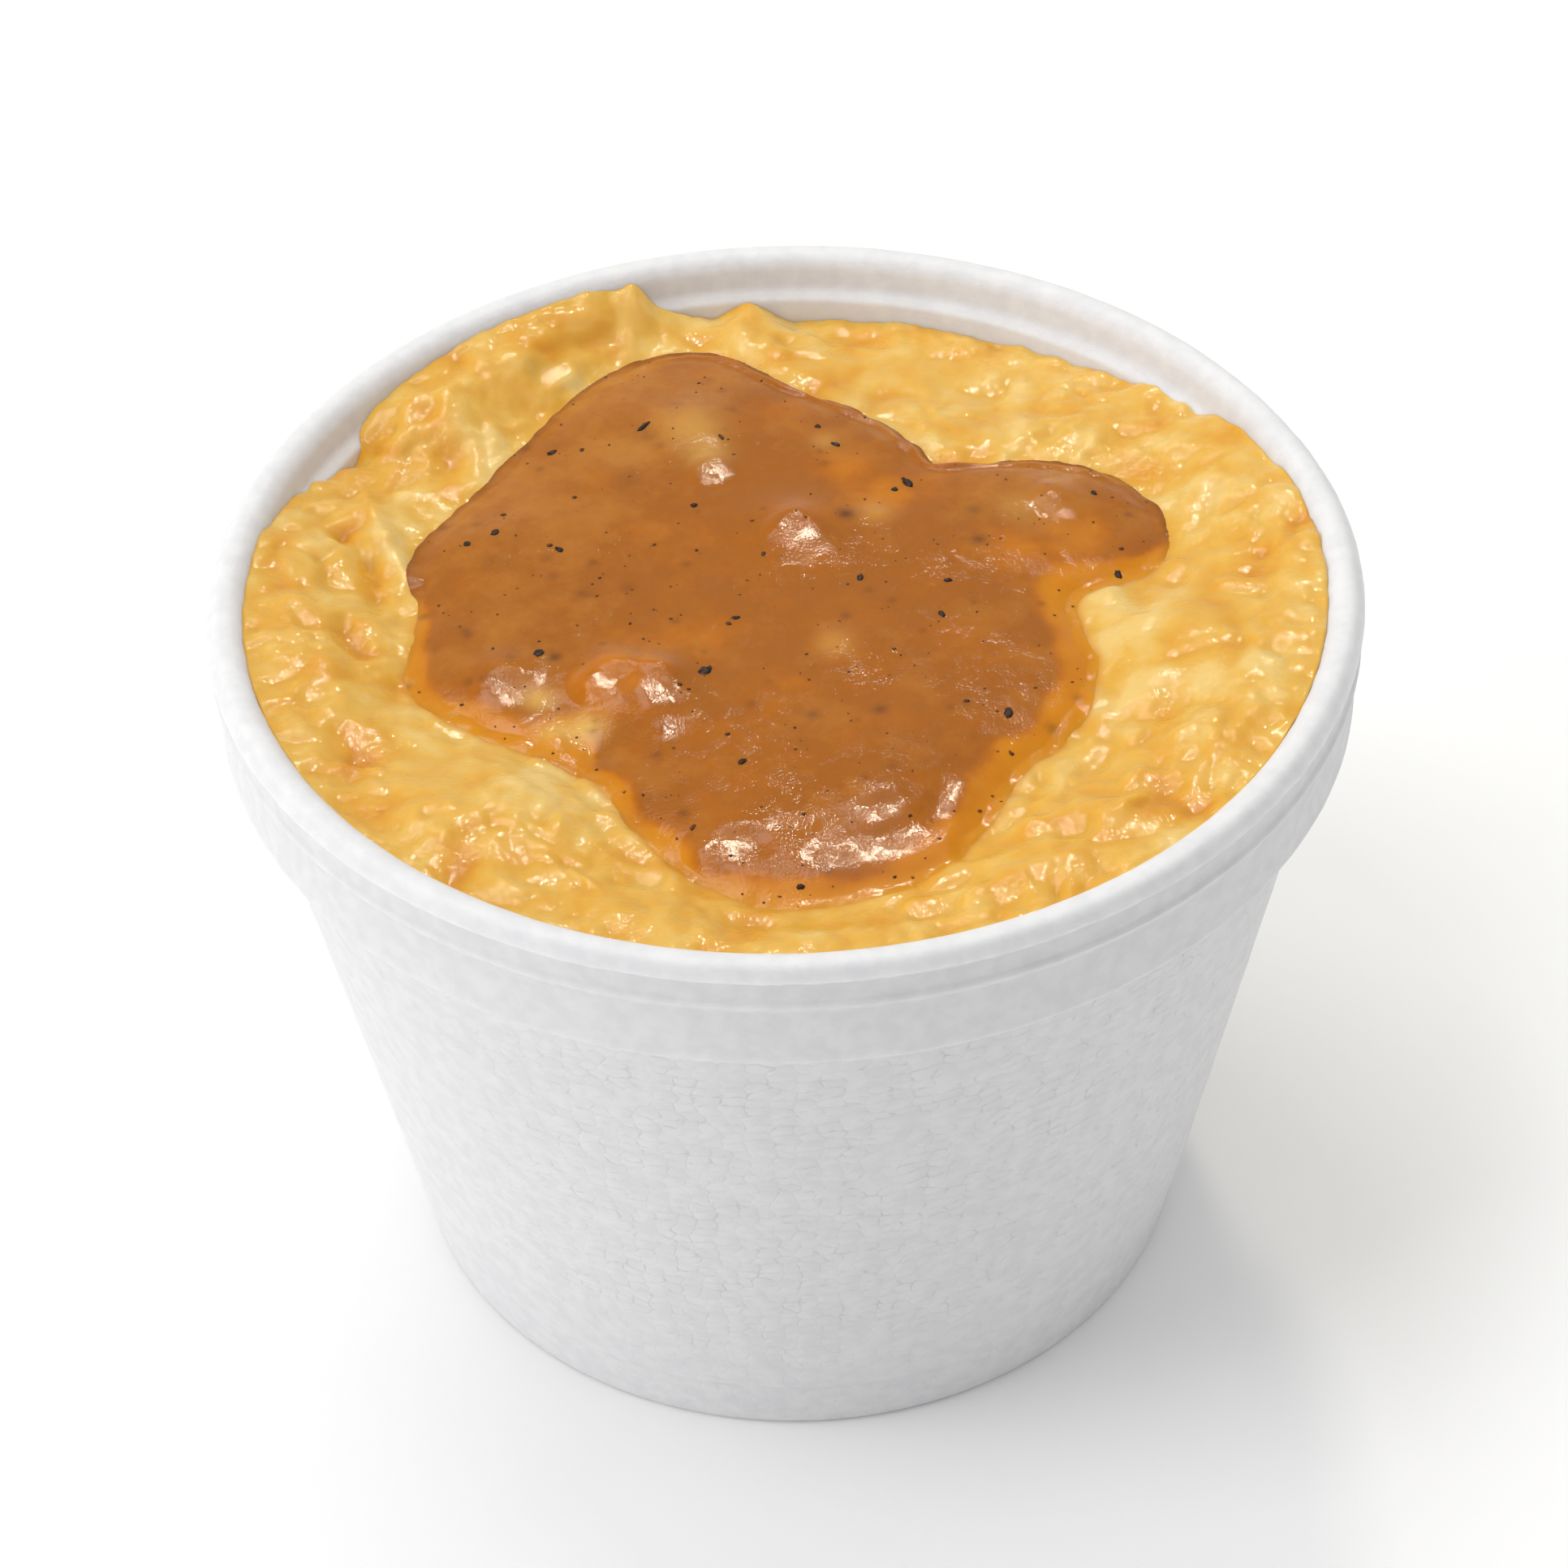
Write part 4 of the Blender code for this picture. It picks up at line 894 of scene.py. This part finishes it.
def makeGravy(plainTop, potatoTop):
    bm = discGrid(gravy["segments"])
    at = vertexArray(bm)
    reach = ringLookup(outlineRing, np.arctan2(at[:, 1], at[:, 0])) + gravy["spread"]
    x, y = gravyCentre[0] + at[:, 0] * reach, gravyCentre[1] + at[:, 1] * reach
    ragged, thick = gravyShape(x, y, edgeDistance(x, y))
    base = np.array([dropOn(plainTop, a, b, 0.06) for a, b in zip(x, y)])
    under = np.array([dropOn(potatoTop, a, b, c) for a, b, c in zip(x, y, base)])
    # the pool lies level, with a roll along its edge, and a thin film covers the potato near it
    roll = strokeField(x, y, gravy["rolls"]) * np.exp(-((ragged - 0.9) / 0.6) ** 2) * 0.33
    lumps = spotField(x, y, gravy["lumps"]) + 0.05 * noiseField(x, y, 4.5, 41.0, 2)
    level = 0.3 * smoothStep(ragged, 0.0, 2.5) - 0.25 + roll + lumps * smoothStep(ragged, 0.0, 2.5)
    cover = np.where(ragged > 0.0, 0.24 * (1.0 - np.exp(-ragged / 0.5)), np.maximum(0.48 * ragged, -0.8))
    cover *= mm
    rise = np.maximum(base + level * mm - under - cover, 0.0) * smoothStep(ragged, 0.0, 1.1)
    z = flatten(x, y, under + cover + rise, gravy["mirrors"], 2.0)[0]
    moveVerts(bm, np.column_stack((x, y, z)))
    top = len(bm.verts)
    skirt(bm, [drawnIn(0.8 * mm, 0.97), drawnIn(1.2 * mm, 0.6), drawnIn(0.3 * mm, 0.25)])
    gravyTop = BVHTree.FromBMesh(bm)
    extra = len(bm.verts) - top
    piece = newPiece("gravyPool", bm, gravyMaterial(), "gravy")
    smudges = gravy["smudges"] + [
        (random.uniform(-30.0, 30.0), random.uniform(-34.0, 34.0), random.uniform(0.25, 0.5),
         random.uniform(0.2, 0.6)) for _ in range(gravy["smudgeCount"])]
    depth = (z - under) / mm
    edge = np.exp(-np.maximum(ragged, 0.0) / 0.4)
    film = np.clip(spotField(x, y, gravy["films"]) / 2.0, 0.0, 1.0)
    # painted shadow along the thick edge of the pool, where no film runs out
    outline = 0.4 * (1.0 - film) * np.exp(-((ragged - 0.1) / 0.3) ** 2)
    fields = {
        "thick": thick * (1.0 - film * (1.0 - smoothStep(depth, 0.1, 0.6))),
        "edge": edge, "rim": edge * film,
        "milk": spotField(x, y, gravy["milk"]), "pale": spotField(x, y, gravy["pale"]),
        "smudgeAndShadow": spotField(x, y, smudges) + outline,
    }
    for name, values in fields.items():
        addAttribute(piece, name, np.concatenate((np.clip(values, -1.0, 1.0), np.zeros(extra))))
    return gravyTop


plainTop, potatoTop = makePotato()
gravyTop = makeGravy(plainTop, potatoTop)


# ---- pepper ----

pepper = {
    # the larger flecks: x, y, length, width (mm), turn in degrees
    "flecks": [
        (-19, 20.8, 0.9, 0.6, 40), (-16.5, 20.8, 0.5, 0.4, 60), (-11.3, 23.3, 1.8, 0.5, 50),
        (3.2, 23, 0.6, 0.5, 0), (4.6, 20.4, 0.9, 0.5, -30), (10.4, 15, 1.6, 0.7, -60),
        (9.3, 14.1, 0.6, 0.6, 0), (25.6, 12.9, 0.7, 0.5, -70), (-23.4, 9.3, 0.9, 0.7, 60),
        (-25.6, 8.2, 0.7, 0.6, 0), (-18.1, 6.8, 1, 0.5, -50), (-18.9, 7.3, 0.5, 0.4, 20),
        (26.8, 2.8, 1.4, 0.6, -75), (28.7, -0.5, 0.6, 0.5, 0), (13.1, 1.4, 0.8, 0.5, 0),
        (6.1, 2.1, 0.9, 0.5, 80), (-1.6, 5.3, 0.6, 0.4, 80), (-7.2, 12.3, 0.7, 0.5, 30),
        (-3.9, -2.7, 0.7, 0.5, 0), (-4.5, -3.4, 0.6, 0.4, -40), (-19.5, -6.3, 1, 0.8, 50),
        (-6.4, -9.3, 1.4, 1, 45), (-8.4, -11.2, 0.5, 0.4, 0), (-7.7, -11.7, 0.35, 0.3, 0),
        (12.4, -2.9, 0.9, 0.5, -60), (17, -14.8, 1.1, 0.8, 90), (-3.6, -20.2, 0.9, 0.6, 50),
        (0.9, -26.4, 0.4, 0.4, 0), (-7.4, -27.2, 0.7, 0.4, 60), (0.5, -33.4, 0.7, 0.5, 0),
        (-30.2, -6.5, 0.6, 0.5, 0), (-22.8, 12, 0.5, 0.4, 0), (-4.9, 21.2, 1, 0.35, -60),
        (12.7, -30.9, 0.6, 0.5, 0), (-4.7, -17, 0.5, 0.4, 0), (13.8, -13.6, 0.6, 0.4, 0),
        (-17, 14, 0.4, 0.4, 0), (17, -19.3, 0.4, 0.4, 0), (27.3, 5.6, 0.45, 0.4, 0),
    ],
    "specks": 420,
    "speckSize": (0.12, 0.34),
    "blacks": (linear(26, 14, 10), linear(60, 32, 18)), "brownColour": linear(134, 72, 22),
}


def pepperMaterial():
    material, tree, shader = newMaterial("blackPepper")
    place = addNode(tree, "ShaderNodeTexCoord").outputs["Object"]
    brown = attributeNodes(tree, "brown")[0]
    flake = rangeNode(tree, noiseNode(tree, place, 0.3, 2.0), 0.35, 0.65)
    dark = mixColour(tree, flake, *pepper["blacks"])
    tree.links.new(mixColour(tree, brown, dark, pepper["brownColour"]), shader.inputs["Base Color"])
    tree.links.new(bumpNode(tree, flake, 0.5, 0.05), shader.inputs["Normal"])
    setInputs(shader, {"Roughness": 0.35, "Specular IOR Level": 0.25})
    return material


def addFleck(bm, x, y, length, width, turn, detail):  # returns how many points it has
    z = dropOn(gravyTop, x * mm, y * mm, 0.0)
    if z < dropOn(potatoTop, x * mm, y * mm, 0.0) + 0.1 * mm:  # only where there is gravy
        return 0
    made = bmesh.ops.create_icosphere(bm, subdivisions=detail, radius=0.5 * mm)["verts"]
    thick = min(width, 0.5) * 0.7
    for vert in made:
        vert.co *= 1.0 + 0.45 * noise.noise(vert.co / (0.3 * mm) + Vector((x, y, 0.0)))
    bmesh.ops.scale(bm, verts=made, vec=(length, width, thick))
    bmesh.ops.rotate(bm, verts=made, matrix=Matrix.Rotation(math.radians(turn), 3, "Z"))
    bmesh.ops.translate(bm, verts=made, vec=(x * mm, y * mm, z - 0.1 * thick * mm))
    return len(made)


def makePepper():
    bm = bmesh.new()
    brown = []
    for x, y, length, width, turn in pepper["flecks"]:
        brown += [0.0 if width > 0.45 else 0.3] * addFleck(bm, x, y, length, width, turn, 2)
    for _ in range(pepper["specks"]):
        x, y = random.uniform(-31.0, 31.0), random.uniform(-35.5, 35.0)
        size = random.uniform(*pepper["speckSize"]) * random.uniform(0.7, 1.0)
        count = addFleck(bm, x, y, size * random.uniform(1.0, 1.5), size, random.uniform(0, 180), 1)
        brown += [random.choice((0.2, 0.5, 0.8))] * count
    piece = newPiece("pepperFlecks", bm, pepperMaterial())
    addAttribute(piece, "brown", brown)


makePepper()


# ---- floor, light and world ----

def addLamp(name):
    share, size = studio["lamps"][name][:2]
    way, distance = lampWay(name)
    data = bpy.data.lights.new(name, "AREA")
    data.energy = share * (math.pi * distance) ** 2 / way.z
    data.shape = "RECTANGLE"
    data.size, data.size_y = size
    data.color = studio["lampColours"].get(name, (1.0, 1.0, 1.0))
    light = bpy.data.objects.new(name, data)
    light.location = lampPlace(name)
    light.rotation_euler = way.to_track_quat("Z", "Y").to_euler()
    bpy.context.scene.collection.objects.link(light)


def makeStudio():
    bm = bmesh.new()
    bmesh.ops.create_grid(bm, x_segments=2, y_segments=2, size=studio["floorSize"] / 2.0)
    material, tree, shader = newMaterial("paleFloor")
    place = addNode(tree, "ShaderNodeTexCoord").outputs["Object"]
    paper = rangeNode(tree, noiseNode(tree, place, 30.0, 3.0), 0.3, 0.7)
    tint = mixColour(tree, paper, *studio["floorColours"])
    tree.links.new(tint, shader.inputs["Base Color"])
    shader.inputs["Roughness"].default_value = 0.8
    mesh = bpy.data.meshes.new("floor")
    bm.to_mesh(mesh)
    bm.free()
    mesh.materials.append(material)
    floor = bpy.data.objects.new("floor", mesh)
    bpy.context.scene.collection.objects.link(floor)
    for name in studio["lamps"]:
        addLamp(name)
    world = bpy.data.worlds.new("studio")
    world.use_nodes = True
    world.node_tree.nodes["Background"].inputs["Color"].default_value = (1.0, 1.0, 1.0, 1.0)
    world.node_tree.nodes["Background"].inputs["Strength"].default_value = studio["world"]
    bpy.context.scene.world = world
    bpy.context.scene.view_settings.view_transform = "Standard"
    bpy.context.scene.view_settings.look = "None"


makeStudio()
print("studio set")
